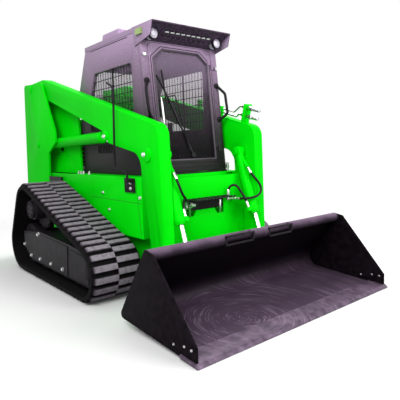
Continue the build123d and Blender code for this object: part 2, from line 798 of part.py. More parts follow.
for (side, level), route in hose_routes.items():
    sign = dict(SIDES)[side]
    points = [Vector(sign * (tilt_x + out), y, z) for out, y, z in route]
    radii = []
    for before, corner, after in zip(points, points[1:], points[2:]):
        turn = radians((corner - before).get_angle(after - corner))
        radii.append(0.45 * min((corner - before).length, (after - corner).length) / tan(turn / 2))
    with BuildPart() as hose:
        with BuildLine() as hose_line:
            FilletPolyline(*points, radius=radii)
        with BuildSketch(Plane(origin=hose_line.line @ 0, z_dir=hose_line.line % 0)):
            Circle(hose_r)
        sweep()
    hose_length = hose_line.wire().length
    filled = hose.part.volume / (pi * hose_r**2 * hose_length)
    print(f"hose_{side}_{level}: length {hose_length:.0f}, volume {filled:.4f} of section times length")
    print("  bend radii", [round(radius) for radius in radii])
    write(hose.part, f"hose_{side}_{level}")

# Bucket: floor and back in one bent sheet, two side plates, a cutting edge and the hitch

floor_dir = Vector(heel_y - lip_y, heel_z - lip_z).normalized()
back_dir = Vector(brim_y - heel_y, brim_z - heel_z).normalized()
floor_up = Vector(-floor_dir.Y, floor_dir.X)
back_in = Vector(-back_dir.Y, back_dir.X)
edge_length = 165.0
edge_thickness = 20.0
edge_bevel = 28.0
lip = Vector(lip_y, lip_z)
heel = Vector(heel_y, heel_z)
brim = Vector(brim_y, brim_z)
half_turn = radians((floor_dir * -1).get_angle(back_dir)) / 2
corner_dir = floor_dir * -cos(half_turn) + floor_up * sin(half_turn)
inner_heel = heel + corner_dir * (bucket_plate / sin(half_turn))
edge_overhang = 12.0
sheet_half = bucket_half - edge_overhang - bucket_side


def flat(vector):
    """Sketch coordinates of a vector."""
    return (vector.X, vector.Y)


with BuildPart() as shell:
    with BuildSketch(Plane.YZ.offset(-sheet_half)) as section:
        Polygon(flat(lip + floor_dir * edge_length), flat(heel), flat(brim), align=None)
        chamfer(section.vertices().sort_by(Axis.X)[-1], heel_cut)
        with BuildSketch(mode=Mode.SUBTRACT) as hollow:
            Polygon(
                flat(inner_heel - floor_dir * bucket_half),
                flat(inner_heel),
                flat(inner_heel + back_dir * bucket_half),
                align=None,
            )
            chamfer(hollow.vertices().sort_by(Axis.X)[-1], heel_cut)
    extrude(amount=2 * sheet_half)
    roll_ends = [-sheet_half, *[x for pocket in roll_pockets for x in pocket], sheet_half]
    roll_spans = [(-sheet_half, sheet_half, roll_bar_r)]
    roll_spans += [(x_from, x_to, roll_r) for x_from, x_to in zip(roll_ends[::2], roll_ends[1::2])]
    for x_from, x_to, radius in roll_spans:
        with BuildSketch(Plane.YZ.offset(x_from)):
            with Locations((brim_y - roll_ahead, brim_z - roll_r)):
                Circle(radius)
        extrude(amount=x_to - x_from)
write(shell.part, "bucket_shell")

cheek_setback = 28.0
cheek_nose = 85.0
cheek_brow = (-1420.0, 556.0)
cheek_heel_r = 30.0
edge_top = floor_up * edge_thickness

with BuildPart() as cheeks:
    for side, sign in SIDES:
        with BuildSketch(Plane.YZ.offset(sign * sheet_half)) as outline:
            toe = lip + floor_dir * cheek_setback + edge_top
            nose = toe + Vector(0, cheek_nose)
            Polygon(
                flat(nose),
                flat(toe),
                flat(lip + floor_dir * edge_length + edge_top),
                flat(lip + floor_dir * edge_length),
                flat(heel),
                flat(brim),
                cheek_brow,
                align=None,
            )
            fillet(outline.vertices().sort_by(Axis.X)[-1], cheek_heel_r)
        extrude(amount=sign * bucket_side)
write(cheeks.part, "bucket_sides")

with BuildPart() as edge:
    with BuildSketch(Plane.YZ.offset(-bucket_half)):
        Polygon(
            flat(lip),
            flat(lip + floor_dir * edge_length),
            flat(lip + floor_dir * edge_length + floor_up * edge_thickness),
            flat(lip + floor_dir * edge_bevel + floor_up * edge_thickness),
            align=None,
        )
    extrude(amount=2 * bucket_half)
write(edge.part, "cutting_edge")

# Hitch: a plate on the bucket's back with ears for the arm hinge and the tilt rods

hitch_plate = 25.0
hitch_low = 60.0
hitch_high = 430.0
ear_thickness = 18.0
ear_gap = 5.0
ear_end_r = 55.0
hitch_margin = 48.0
hitch_corner_r = 40.0
root_low_in, root_high_in, rod_root_up = 20.0, 40.0, 90.0
inner_ear_x = arm_inner_x - ear_gap
outer_ear_x = arm_outer_x + ear_gap
rod_ear_x = tilt_x - tilt_eye_width / 2 - ear_gap
hitch_half = outer_ear_x + ear_thickness + hitch_margin
back_plane = Plane(origin=(0, heel_y, heel_z), x_dir=(-1, 0, 0), z_dir=(0, back_dir.Y, -back_dir.X))

with BuildPart() as hitch:
    with BuildSketch(back_plane):
        with Locations((0, (hitch_low + hitch_high) / 2)):
            RectangleRounded(2 * hitch_half, hitch_high - hitch_low, hitch_corner_r)
    extrude(amount=hitch_plate)
    root_low = heel + back_dir * (hitch_low + root_low_in) - back_in * (hitch_plate / 2)
    root_high = heel + back_dir * (hitch_high - root_high_in) - back_in * (hitch_plate / 2)
    for side, sign in SIDES:
        for ear_x in (inner_ear_x - ear_thickness, outer_ear_x):
            with BuildSketch(Plane.YZ.offset(sign * ear_x)):
                Polygon(
                    flat(root_low),
                    (hinge_y, hinge_z - ear_end_r),
                    (hinge_y, hinge_z + ear_end_r),
                    (tilt_eye_y + ear_end_r, tilt_eye_z),
                    flat(root_high),
                    align=None,
                )
                with Locations((hinge_y, hinge_z), (tilt_eye_y, tilt_eye_z)):
                    Circle(ear_end_r)
            extrude(amount=sign * ear_thickness)
        with BuildSketch(Plane.YZ.offset(sign * rod_ear_x)):
            Polygon(
                flat(root_low + back_dir * rod_root_up),
                (tilt_eye_y, tilt_eye_z - ear_end_r),
                (tilt_eye_y, tilt_eye_z + ear_end_r),
                flat(root_high),
                align=None,
            )
            with Locations((tilt_eye_y, tilt_eye_z)):
                Circle(ear_end_r)
        extrude(amount=-sign * ear_thickness)
        with BuildSketch(Plane.YZ.offset(sign * (inner_ear_x - ear_thickness))):
            with Locations((hinge_y, hinge_z)):
                Circle(hinge_pin_r)
        extrude(amount=sign * (outer_ear_x - inner_ear_x + 2 * ear_thickness))
write(hitch.part, "hitch")

# Cab: side walls with window cut-outs, back wall, front frame, floor and roof

cab_slope = hypot(1, cab_lean)
front_plane = Plane(origin=(0, cab_front_y, deck_z), x_dir=(1, 0, 0), z_dir=(0, -1, cab_lean))


def up(z):
    """Distance up the leaning front face to a height."""
    return (z - deck_z) * cab_slope


window_front_y, window_rear_y, window_slope_y = -334.0, 455.0, 330.0
window_low_z, window_high_z, window_bend_z = 1350.0, 1885.0, 1610.0
side_window = [
    (window_front_y, window_low_z),
    (window_front_y, window_high_z),
    (window_slope_y, window_high_z),
    (window_rear_y, window_bend_z),
    (window_rear_y, window_low_z),
]
window_r = 40.0
guard_inset = 15.0
guard_x = cab_half - guard_inset
guard_thickness = 8.0
guard_column_pitch, guard_row_pitch = 46.0, 77.0
guard_bar = 7.0
guard_rows, guard_columns = 7, 17
pane_inset = 32.0
pane_x = cab_half - pane_inset

with BuildPart() as walls:
    for side, sign in SIDES:
        with BuildSketch(Plane.YZ.offset(sign * (cab_half - cab_wall))):
            Polygon(
                (behind_front_at(deck_z), deck_z),
                (behind_front_at(cab_top_z), cab_top_z),
                (cab_back_top_y, cab_top_z),
                (cab_back_y, cab_bend_z),
                (cab_back_y, deck_z),
                align=None,
            )
            with BuildSketch(mode=Mode.SUBTRACT) as window:
                Polygon(*side_window, align=None)
                fillet(window.vertices(), window_r)
        extrude(amount=sign * cab_wall)
write(walls.part, "cab_sides")

with BuildPart() as guards:
    for side, sign in SIDES:
        with BuildSketch(Plane.YZ.offset(sign * guard_x)):
            with BuildSketch() as field:
                Polygon(*side_window, align=None)
                fillet(field.vertices(), window_r)
            with BuildSketch(mode=Mode.SUBTRACT):
                with Locations(((window_front_y + window_rear_y) / 2, (window_low_z + window_high_z) / 2)):
                    with GridLocations(guard_column_pitch, guard_row_pitch, guard_columns, guard_rows):
                        Rectangle(guard_column_pitch - guard_bar, guard_row_pitch - guard_bar)
        extrude(amount=sign * guard_thickness)
write(guards.part, "window_guards")

rear_window_inset = 150.0
rear_window_half = cab_half - rear_window_inset
rear_window_low, rear_window_high = 1530.0, 1740.0

with BuildPart() as back:
    with BuildSketch(Plane.YZ.offset(-(cab_half - cab_wall))):
        Polygon(
            (cab_back_y, floor_z + tub_wall),
            (cab_back_y, cab_bend_z),
            (cab_back_top_y, cab_top_z),
            (cab_back_top_y - cab_wall, cab_top_z),
            (cab_back_y - cab_wall, cab_bend_z),
            (cab_back_y - cab_wall, floor_z + tub_wall),
            align=None,
        )
    extrude(amount=2 * (cab_half - cab_wall))
    with BuildSketch(Plane.XZ.offset(-cab_back_y)):
        with Locations((0, (rear_window_low + rear_window_high) / 2)):
            RectangleRounded(2 * rear_window_half, rear_window_high - rear_window_low, window_r)
    extrude(amount=cab_wall, mode=Mode.SUBTRACT)
write(back.part, "cab_back")

with BuildPart() as panes:
    for side, sign in SIDES:
        with BuildSketch(Plane.YZ.offset(sign * pane_x)) as pane:
            Polygon(*side_window, align=None)
            fillet(pane.vertices(), window_r)
        extrude(amount=sign * glass_thickness)
    with BuildSketch(Plane.XZ.offset(-cab_back_y + cab_wall / 2)):
        with Locations((0, (rear_window_low + rear_window_high) / 2)):
            RectangleRounded(2 * rear_window_half, rear_window_high - rear_window_low, window_r)
    extrude(amount=glass_thickness)
write(panes.part, "cab_glass")

door_low = 18.0
door_high = up(door_top_z)
opening_r = 40.0


def door_hinge_plane(z):
    """Plane across the door's hinge axis, which leans with the front face."""
    centre = front_plane.from_local_coords((door_half + door_gap / 2, up(z), knuckle_out))
    return Plane(origin=centre, x_dir=(1, 0, 0), z_dir=front_plane.y_dir)


with BuildPart() as front:
    with BuildSketch(front_plane):
        Rectangle(2 * cab_half, up(cab_top_z), align=(Align.CENTER, Align.MIN))
        with Locations((0, (door_low + door_high) / 2)):
            RectangleRounded(
                2 * (door_half + door_gap),
                door_high - door_low + 2 * door_gap,
                opening_r + door_gap,
                mode=Mode.SUBTRACT,
            )
    extrude(amount=-cab_wall)
    split(bisect_by=Plane.XY.offset(deck_z), keep=Keep.TOP)
    split(bisect_by=Plane.XY.offset(cab_top_z), keep=Keep.BOTTOM)
    for z in door_hinge_zs:
        add(fixed_knuckle(door_hinge_plane(z), hinge_leaf))
write(front.part, "cab_front")

with BuildPart() as floor:
    with BuildSketch(Plane.XY.offset(floor_z)):
        with Locations((0, tub_front_y + tub_wall)):
            floor_depth = cab_back_y - tub_front_y - tub_wall
            Rectangle(2 * (tub_half - tub_wall), floor_depth, align=(Align.CENTER, Align.MIN))
    extrude(amount=tub_wall)
write(floor.part, "cab_floor")

visor_y = -673.0
visor_edge = 10.0
visor_nose = 20.0
visor_low_z = 2040.0
visor_flange = 8.0
flange_nose_y, flange_nose_z = -642.0, 2046.0
flange_low_y, flange_low_z, flange_rear_y = -412.0, 1998.0, -380.0
visor_overlap = 2.0
slot_width, slot_height, slot_depth = 40.0, 16.0, 14.0
slot_pitch, slot_rise, slot_columns = 54.0, 62.0, 9
lamp_inset = 68.0
lamp_x, lamp_back_y, lamp_z = cab_half - lamp_inset, -520.0, 2077.0
lamp_r = 42.0
lamp_depth = 55.0
visor_top = Vector(0, visor_y + visor_nose, roof_z - visor_edge)
visor_foot = Vector(0, front_at(visor_low_z) - visor_overlap, visor_low_z)
visor_rise = visor_top - visor_foot
visor_plane = Plane(
    origin=(visor_top + visor_foot) / 2,
    x_dir=(1, 0, 0),
    z_dir=(0, -visor_rise.Z, visor_rise.Y),
)

with BuildPart() as roof:
    with BuildSketch(Plane.YZ.offset(-cab_half)):
        Polygon(
            (visor_y, roof_z),
            (cab_back_top_y, roof_z),
            (cab_back_top_y, cab_top_z),
            (front_at(cab_top_z) - visor_overlap, cab_top_z),
            (visor_foot.Y, visor_foot.Z),
            (visor_top.Y, visor_top.Z),
            (visor_y, roof_z - visor_edge),
            align=None,
        )
    extrude(amount=2 * cab_half)
    for side, sign in SIDES:
        with BuildSketch(Plane.YZ.offset(sign * cab_half)):
            Polygon(
                (visor_y, roof_z),
                (flange_nose_y, flange_nose_z),
                (flange_low_y, flange_low_z),
                (flange_rear_y, roof_z - visor_edge),
                (flange_rear_y, roof_z),
                align=None,
            )
        extrude(amount=sign * visor_flange)
        with BuildSketch(Plane.XZ.offset(-lamp_back_y)):
            with Locations((sign * lamp_x, lamp_z)):
                Circle(lamp_r + seat_gap)
        extrude(amount=lamp_back_y - visor_y, mode=Mode.SUBTRACT)
    with BuildSketch(visor_plane):
        with GridLocations(slot_pitch, slot_rise, slot_columns, 2):
            Rectangle(slot_width, slot_height)
    extrude(amount=-slot_depth, mode=Mode.SUBTRACT)
write(roof.part, "cab_roof")

roof_box_front_y, roof_box_rear_y, roof_box_height = 95.0, 445.0, 132.0
roof_box_half = 0.65 * cab_half
roof_box_r, roof_box_taper, roof_box_bevel = 40.0, 8.0, 12.0

with BuildPart() as roof_box:
    with BuildSketch(Plane.XY.offset(roof_z)):
        with Locations((0, (roof_box_front_y + roof_box_rear_y) / 2)):
            RectangleRounded(2 * roof_box_half, roof_box_rear_y - roof_box_front_y, roof_box_r)
    extrude(amount=roof_box_height, taper=roof_box_taper)
    chamfer(roof_box.faces().sort_by(Axis.Z)[-1].edges(), roof_box_bevel)
write(roof_box.part, "roof_box")

# Cab door: framed glass with a wiper

door_stile, door_rail, door_skirt = 42.0, 45.0, 119.0
glass_corner, glass_shoulder = 99.0, 80.0
glass_half = door_half - door_stile
glass_top_half = glass_half - glass_corner
glass_top_z = door_top_z - door_rail
glass_shoulder_z = glass_top_z - glass_shoulder
glass_low_z = deck_z + door_skirt
door_glass = [
    (-glass_top_half, up(glass_top_z)),
    (glass_top_half, up(glass_top_z)),
    (glass_half, up(glass_shoulder_z)),
    (glass_half, up(glass_low_z)),
    (-glass_half, up(glass_low_z)),
    (-glass_half, up(glass_shoulder_z)),
]
glass_inset = 14.0

with BuildPart() as door:
    with BuildSketch(front_plane):
        with Locations((0, (door_low + door_high) / 2)):
            RectangleRounded(2 * door_half, door_high - door_low, opening_r)
        Polygon(*door_glass, align=None, mode=Mode.SUBTRACT)
    extrude(amount=-door_thickness)
    for z in door_hinge_zs:
        add(door_knuckle(door_hinge_plane(z), hinge_leaf))
write(door.part, "door_frame")

with BuildPart() as door_pane:
    with BuildSketch(front_plane.offset(-glass_inset - glass_thickness)):
        Polygon(*door_glass, align=None)
    extrude(amount=glass_thickness)
write(door_pane.part, "door_glass")

wiper_foot_x, wiper_foot_rise = 43.0, 37.0
wiper_head_inset, wiper_head_drop = 120.0, 315.0
wiper_foot_z = glass_low_z + wiper_foot_rise
wiper_head_x = wiper_head_inset - glass_half
wiper_head_z = glass_shoulder_z - wiper_head_drop
wiper_pivot = (wiper_foot_x, up(wiper_foot_z))
wiper_bar, wiper_hub_r = 14.0, 22.0
wiper_run, wiper_climb = wiper_head_x - wiper_foot_x, up(wiper_head_z) - up(wiper_foot_z)
wiper_turn = degrees(atan2(wiper_climb, wiper_run))
wiper_length = hypot(wiper_run, wiper_climb)
wiper_blade, wiper_blade_width = 420.0, 10.0

with BuildPart() as wiper:
    with BuildSketch(front_plane.offset(-glass_inset)):
        with Locations(wiper_pivot):
            Circle(wiper_hub_r)
        with Locations(Location(wiper_pivot, wiper_turn)):
            Rectangle(wiper_length, wiper_bar, align=(Align.MIN, Align.CENTER))
            with Locations((wiper_length, 0)):
                Rectangle(wiper_blade, wiper_blade_width, rotation=4)
    extrude(amount=glass_inset - visor_overlap)
write(wiper.part, "wiper")

# Power pack and its covers

pack_gap = 50.0
pack_half = tub_half - pack_gap
pack_front_y, pack_rear_y, pack_top_z = 690.0, 1500.0, 1000.0

with BuildPart() as power_pack:
    with BuildSketch(Plane.XY.offset(tub_bottom_z + tub_wall)):
        with Locations((0, pack_front_y)):
            Rectangle(2 * pack_half, pack_rear_y - pack_front_y, align=(Align.CENTER, Align.MIN))
    extrude(amount=pack_top_z - tub_bottom_z - tub_wall)
write(power_pack.part, "power_pack")

hood_half = tower_inner_x
hood_top_z = 1490.0
hood_plate = 30.0
louvre_half, louvre_height = 260.0, 26.0
hood_louvres, hood_louvre_pitch = 10, 70.0

with BuildPart() as hood:
    with BuildSketch(Plane.XY.offset(hood_top_z - hood_plate)):
        with Locations((0, cab_back_y)):
            Rectangle(2 * hood_half, tub_rear_y - cab_back_y, align=(Align.CENTER, Align.MIN))
        with Locations((0, (cab_back_y + tub_rear_y) / 2)):
            with GridLocations(1, hood_louvre_pitch, 1, hood_louvres):
                Rectangle(2 * louvre_half, louvre_height, mode=Mode.SUBTRACT)
    extrude(amount=hood_plate)
write(hood.part, "hood")

tail_half = hood_half - tail_gap
tail_low_z, tail_corner_r = 500.0, 30.0
grille_z, grille_bars, grille_pitch = 1180.0, 8, 55.0

with BuildPart() as tail:
    with BuildSketch(Plane.XZ.offset(-tub_rear_y - tail_gap)):
        with Locations((0, (tail_low_z + hood_top_z) / 2)):
            RectangleRounded(2 * tail_half, hood_top_z - tail_low_z, tail_corner_r)
        with Locations((0, grille_z)):
            with GridLocations(1, grille_pitch, 1, grille_bars):
                Rectangle(2 * louvre_half, louvre_height, mode=Mode.SUBTRACT)
    extrude(amount=-tail_thickness)
    for z in tail_hinge_zs:
        add(door_knuckle(tail_hinge_plane(z), hinge_leaf))
write(tail.part, "tail_door")

# Seat with its lap bar, consoles with levers, handles and lamps

console_width = 90.0
console_gap = 20.0
console_x = cab_half - cab_wall - console_gap - console_width / 2
console_front_y, console_rear_y = 20.0, 480.0
console_nose, console_nose_z, console_top_z = 70.0, 1180.0, 1230.0
lever_r, lever_y = 16.0, 110.0
lever_foot_z, grip_foot_z, grip_top_z, grip_lip = 1215.0, 1320.0, 1430.0, 10.0
seat_half = console_x - console_width / 2 - console_gap
seat_front_y, seat_rear_y = 60.0, 520.0
seat_z = 1080.0
seat_margin, seat_corner_r = 30.0, 60.0
cushion_height, cushion_bevel = 110.0, 30.0
rest_height, rest_thickness, rest_corner_r = 560.0, 90.0, 80.0
rest_lean = 0.15

with BuildPart() as seat_base:
    with BuildSketch(Plane.XY.offset(floor_z + tub_wall)):
        with Locations((0, (seat_front_y + seat_rear_y) / 2)):
            Rectangle(2 * (seat_half - seat_margin), seat_rear_y - seat_front_y - 2 * seat_margin)
    extrude(amount=seat_z - floor_z - tub_wall)
write(seat_base.part, "seat_base")

with BuildPart() as cushion:
    with BuildSketch(Plane.XY.offset(seat_z)):
        with Locations((0, (seat_front_y + seat_rear_y) / 2)):
            RectangleRounded(2 * seat_half, seat_rear_y - seat_front_y, seat_corner_r)
    extrude(amount=cushion_height)
    chamfer(cushion.faces().sort_by(Axis.Z)[-1].edges(), cushion_bevel)
write(cushion.part, "seat_cushion")

rest_setback, rest_gap = 100.0, 1.0
rest_foot = (0, seat_rear_y - rest_setback, seat_z + cushion_height + rest_gap)

with BuildPart() as backrest:
    with BuildSketch(Plane(origin=rest_foot, x_dir=(1, 0, 0), z_dir=(0, -1, rest_lean))):
        with Locations((0, rest_height / 2 + console_gap / 2)):
            RectangleRounded(2 * seat_half - console_gap, rest_height, rest_corner_r)
    extrude(amount=-rest_thickness)
write(backrest.part, "seat_back")

bar_r = 14.0
bar_gap = 10.0
bar_x = seat_half + bar_gap
bar_rear_y, bar_rear_z = 400.0, 1300.0
bar_front_y, bar_front_z = 26.0, 1335.0
bar_bend_r = 50.0

with BuildPart() as lap_bar:
    with BuildLine() as bar_line:
        FilletPolyline(
            (-(cab_half - cab_wall), bar_rear_y, bar_rear_z),
            (-bar_x, bar_rear_y, bar_rear_z),
            (-bar_x, bar_front_y, bar_front_z),
            (bar_x, bar_front_y, bar_front_z),
            (bar_x, bar_rear_y, bar_rear_z),
            (cab_half - cab_wall, bar_rear_y, bar_rear_z),
            radius=bar_bend_r,
        )
    with BuildSketch(Plane(origin=bar_line.line @ 0, z_dir=bar_line.line % 0)):
        Circle(bar_r)
    sweep()
write(lap_bar.part, "lap_bar")

with BuildPart() as consoles:
    for side, sign in SIDES:
        with BuildSketch(Plane.YZ.offset(sign * (console_x - console_width / 2))):
            Polygon(
                (console_front_y, floor_z + tub_wall),
                (console_front_y, console_nose_z),
                (console_front_y + console_nose, console_top_z),
                (console_rear_y, console_top_z),
                (console_rear_y, floor_z + tub_wall),
                align=None,
            )
        extrude(amount=sign * console_width)
        for z_from, radius in ((lever_foot_z, lever_r), (grip_foot_z, lever_r + grip_lip)):
            with BuildSketch(Plane.XY.offset(z_from)):
                with Locations((sign * console_x, lever_y)):
                    Circle(radius)
            extrude(amount=grip_top_z - z_from)
write(consoles.part, "consoles")

handle_inset = 28.0
handle_x = cab_half - handle_inset
handle_r = 12.0
handle_low_z, handle_high_z = 1421.0, 1720.0
handle_reach = 80.0
handle_turn = radians(39.0)
handle_drop, handle_rise = 70.0, 50.0
handle_bend_r = 40.0
handle_pad, handle_pad_r = 12.0, 24.0

with BuildPart() as handles:
    for side, sign in SIDES:
        with BuildSketch(front_plane):
            with Locations((sign * handle_x, up(handle_low_z)), (sign * handle_x, up(handle_high_z))):
                Circle(handle_pad_r)
        extrude(amount=handle_pad)
        bow_x = sign * (handle_x + handle_reach * sin(handle_turn))
        bow_reach = handle_reach * cos(handle_turn)
        with BuildLine() as bow:
            FilletPolyline(
                (sign * handle_x, front_at(handle_high_z) - handle_pad, handle_high_z),
                (bow_x, front_at(handle_high_z) - bow_reach, handle_high_z - handle_drop),
                (bow_x, front_at(handle_low_z) - bow_reach, handle_low_z + handle_rise),
                (sign * handle_x, front_at(handle_low_z) - handle_pad, handle_low_z),
                radius=handle_bend_r,
            )
        with BuildSketch(Plane(origin=bow.line @ 0, z_dir=bow.line % 0)):
            Circle(handle_r)
        sweep()
write(handles.part, "grab_handles")

marker_y, marker_z = -492.0, 2097.0
marker_length, marker_height, marker_depth = 80.0, 44.0, 16.0
tail_lamp_z, tail_lamp_width, tail_lamp_height, tail_lamp_depth = 1050.0, 64.0, 150.0, 18.0
tail_lean = (tail_y - tower_top_y) / (tower_top_z - tower_foot_z)

with BuildPart() as lamps:
    for side, sign in SIDES:
        with BuildSketch(Plane.XZ.offset(-lamp_back_y)):
            with Locations((sign * lamp_x, lamp_z)):
                Circle(lamp_r)
        extrude(amount=lamp_depth)
        with BuildSketch(Plane.YZ.offset(sign * (cab_half + visor_flange))):
            with Locations((marker_y, marker_z)):
                Rectangle(marker_length, marker_height)
        extrude(amount=sign * marker_depth)
        lamp_foot = (sign * arm_mid_x, tail_at(tail_lamp_z), tail_lamp_z)
        with BuildSketch(Plane(origin=lamp_foot, x_dir=(-1, 0, 0), z_dir=(0, 1, tail_lean))):
            Rectangle(tail_lamp_width, tail_lamp_height)
        extrude(amount=tail_lamp_depth)
write(lamps.part, "lamps")

# Stay rod on its bracket at the right side cover

stay_out = 51.0
stay_x = -(arm_outer_x + stay_out)
stay_r = 9.0
stay_bend_r = 28.0
pad_rear_y, pad_front_y, pad_low_z, pad_high_z = -401.0, -554.0, 835.0, 950.0
pad_plate = 10.0
stay_foot_y, stay_foot_z = -521.0, 930.0
lug_length, lug_depth = 40.0, 24.0
stay_knee_z = 1002.0
stay_rise_y, stay_rise_z = -330.0, 1030.0
stay_hook_y, stay_hook_z = -372.0, 1670.0
stay_tip_y, stay_tip_z = -277.0, 1715.0

with BuildPart() as stay:
    with BuildSketch(Plane.YZ.offset(-arm_outer_x)):
        with Locations(((pad_rear_y + pad_front_y) / 2, (pad_low_z + pad_high_z) / 2)):
            Rectangle(pad_rear_y - pad_front_y, pad_high_z - pad_low_z)
    extrude(amount=-pad_plate)
    with BuildSketch(Plane.YZ.offset(-arm_outer_x)):
        with Locations((stay_foot_y, stay_foot_z)):
            Rectangle(lug_length, lug_depth)
    extrude(amount=stay_x + arm_outer_x - stay_r)
    with BuildLine() as route:
        FilletPolyline(
            (stay_x, stay_foot_y, stay_foot_z),
            (stay_x, stay_foot_y, stay_knee_z),
            (stay_x, stay_rise_y, stay_rise_z),
            (stay_x, stay_hook_y, stay_hook_z),
            (stay_x, stay_tip_y, stay_tip_z),
            radius=stay_bend_r,
        )
    with BuildSketch(Plane(origin=route.line @ 0, z_dir=route.line % 0)):
        Circle(stay_r)
    sweep()
write(stay.part, "stay_rod")
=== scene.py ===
# %% [markdown]
# # A compact track loader, piece by piece
#
# The machine arrives as plain solids on moving bodies. This lesson gives it its looks: paint and rubber,
# rounded edges, hoses with their sleeves, bolts, a stuffed seat and a bright studio. Sizes are in metres, the
# floor is z = 0, the bucket points to -Y and the machine's right side is -X.

import json
import math

import bmesh
import bpy
import numpy as np
from mathutils import Matrix, Vector

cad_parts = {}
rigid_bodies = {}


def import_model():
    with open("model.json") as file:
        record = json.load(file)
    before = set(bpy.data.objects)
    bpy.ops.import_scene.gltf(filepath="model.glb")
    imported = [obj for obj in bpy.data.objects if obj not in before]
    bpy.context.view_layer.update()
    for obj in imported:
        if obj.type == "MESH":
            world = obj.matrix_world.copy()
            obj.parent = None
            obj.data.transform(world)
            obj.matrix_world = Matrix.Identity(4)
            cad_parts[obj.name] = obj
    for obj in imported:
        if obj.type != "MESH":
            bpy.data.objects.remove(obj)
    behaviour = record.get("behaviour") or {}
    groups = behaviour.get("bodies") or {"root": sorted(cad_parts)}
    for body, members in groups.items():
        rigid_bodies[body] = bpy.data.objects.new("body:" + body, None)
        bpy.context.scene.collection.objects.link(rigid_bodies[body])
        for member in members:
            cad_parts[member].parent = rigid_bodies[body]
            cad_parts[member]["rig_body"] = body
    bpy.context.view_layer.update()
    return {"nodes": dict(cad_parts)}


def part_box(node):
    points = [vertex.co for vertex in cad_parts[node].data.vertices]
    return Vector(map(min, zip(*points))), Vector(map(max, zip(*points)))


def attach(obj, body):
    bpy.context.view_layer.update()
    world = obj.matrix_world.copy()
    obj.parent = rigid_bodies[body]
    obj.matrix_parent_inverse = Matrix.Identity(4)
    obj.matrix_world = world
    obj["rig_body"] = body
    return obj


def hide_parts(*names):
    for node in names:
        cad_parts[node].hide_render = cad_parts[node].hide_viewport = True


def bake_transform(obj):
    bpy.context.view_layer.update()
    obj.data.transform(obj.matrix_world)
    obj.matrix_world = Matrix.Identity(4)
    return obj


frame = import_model()
nodes = frame["nodes"]
SIDES = (("right", -1), ("left", 1))
scene = bpy.context.scene

# %% [markdown]
# ## Where the camera stands
#
# A picture fixes the viewpoint: how far round the machine, how far above the horizon, how far the horizon tips
# and how strongly near things grow. The camera's three axes follow from the first three angles by the cross
# product, and the lens from the width of the view.

# %% Camera
view_round, view_up, view_roll = map(math.radians, (-39.58, 6.61, -1.80))
camera_place, film_width, focal_length = (-2.399, -3.584, 1.170), 36.0, 40.28
back = Vector((
    math.sin(view_round) * math.cos(view_up),
    -math.cos(view_round) * math.cos(view_up),
    math.sin(view_up),
))
level = (-back).cross(Vector((0, 0, 1))).normalized()
upright = level.cross(-back)
right = math.cos(view_roll) * level + math.sin(view_roll) * upright
above = -math.sin(view_roll) * level + math.cos(view_roll) * upright
lens = bpy.data.cameras.new("camera")
lens.sensor_width = film_width
lens.lens = focal_length
camera = bpy.data.objects.new("camera", lens)
axes = Matrix((right, above, back)).transposed().to_4x4()
camera.matrix_world = Matrix.Translation(camera_place) @ axes
scene.collection.objects.link(camera)
scene.camera = camera
print("camera at", tuple(round(v, 3) for v in camera.location))

# %% [markdown]
# ## Making surfaces from arrays
#
# Every new piece below is one of four things: a profile turned round an axis, a circle carried along a path, a
# block, or a row of copies of one of these. Each is worked out as whole arrays of points and faces, so a row of
# thirty bolts costs one line.

# %% Arrays of points and faces
askew, sharp_angle, same_within = (0.31, 0.57, 0.76), math.radians(32), 1e-6
spline_order, spline_steps = 3, 6
head_turn, washer_sides, head_sides = 0.3, 20, 6
bolt_shares = np.array((0.72, 0.12, 0.58, 0.5, 0.46, 0.6))
SQUARE = ((-1, -1), (1, -1), (1, 1), (-1, 1))


def turned(profile, sides=16):
    """Turn a profile of (radius, height) rows round the z axis: x = r cos t, y = r sin t, z = h."""
    radius, height = np.array(profile, float).T
    angle = np.linspace(0, 2 * np.pi, sides, endpoint=False)
    points = np.stack([
        radius[:, None] * np.cos(angle),
        radius[:, None] * np.sin(angle),
        height[:, None] + 0 * angle,
    ], axis=-1)
    return points.reshape(-1, 3), ring_faces(len(radius), sides)


def ring_faces(rings, sides):
    """Quads between neighbouring rings of points, with the first and last ring closed by one face each."""
    ring, side = np.meshgrid(np.arange(rings - 1), np.arange(sides), indexing="ij")
    following = (side + 1) % sides
    quads = np.stack([
        ring * sides + side,
        ring * sides + following,
        (ring + 1) * sides + following,
        (ring + 1) * sides + side,
    ], axis=-1).reshape(-1, 4)
    ends = [list(range(sides))[::-1], list(range((rings - 1) * sides, rings * sides))]
    return quads.tolist() + ends


def carried(path, radius, sides=12):
    """Carry a circle along a path: each ring is the last one turned by the least turn to the new direction."""
    path = np.array(path, float)
    steps = np.gradient(path, axis=0)
    steps /= np.linalg.norm(steps, axis=1)[:, None]
    across = np.cross(steps[0], askew)
    across /= np.linalg.norm(across)
    angle = np.linspace(0, 2 * np.pi, sides, endpoint=False)
    rings = []
    for place, step in zip(path, steps):
        across = across - step * (across @ step)
        across /= np.linalg.norm(across)
        other = np.cross(step, across)
        rings.append(place + radius * (np.cos(angle)[:, None] * across + np.sin(angle)[:, None] * other))
    return np.concatenate(rings), ring_faces(len(path), sides)


def block(low, high):
    """A box between two corners."""
    low, high = np.minimum(low, high), np.maximum(low, high)
    corners = np.array([[x, y, z] for x in (0, 1) for y in (0, 1) for z in (0, 1)], float)
    faces = [[0, 1, 3, 2], [4, 6, 7, 5], [0, 4, 5, 1], [2, 3, 7, 6], [0, 2, 6, 4], [1, 5, 7, 3]]
    return low + corners * (high - low), faces


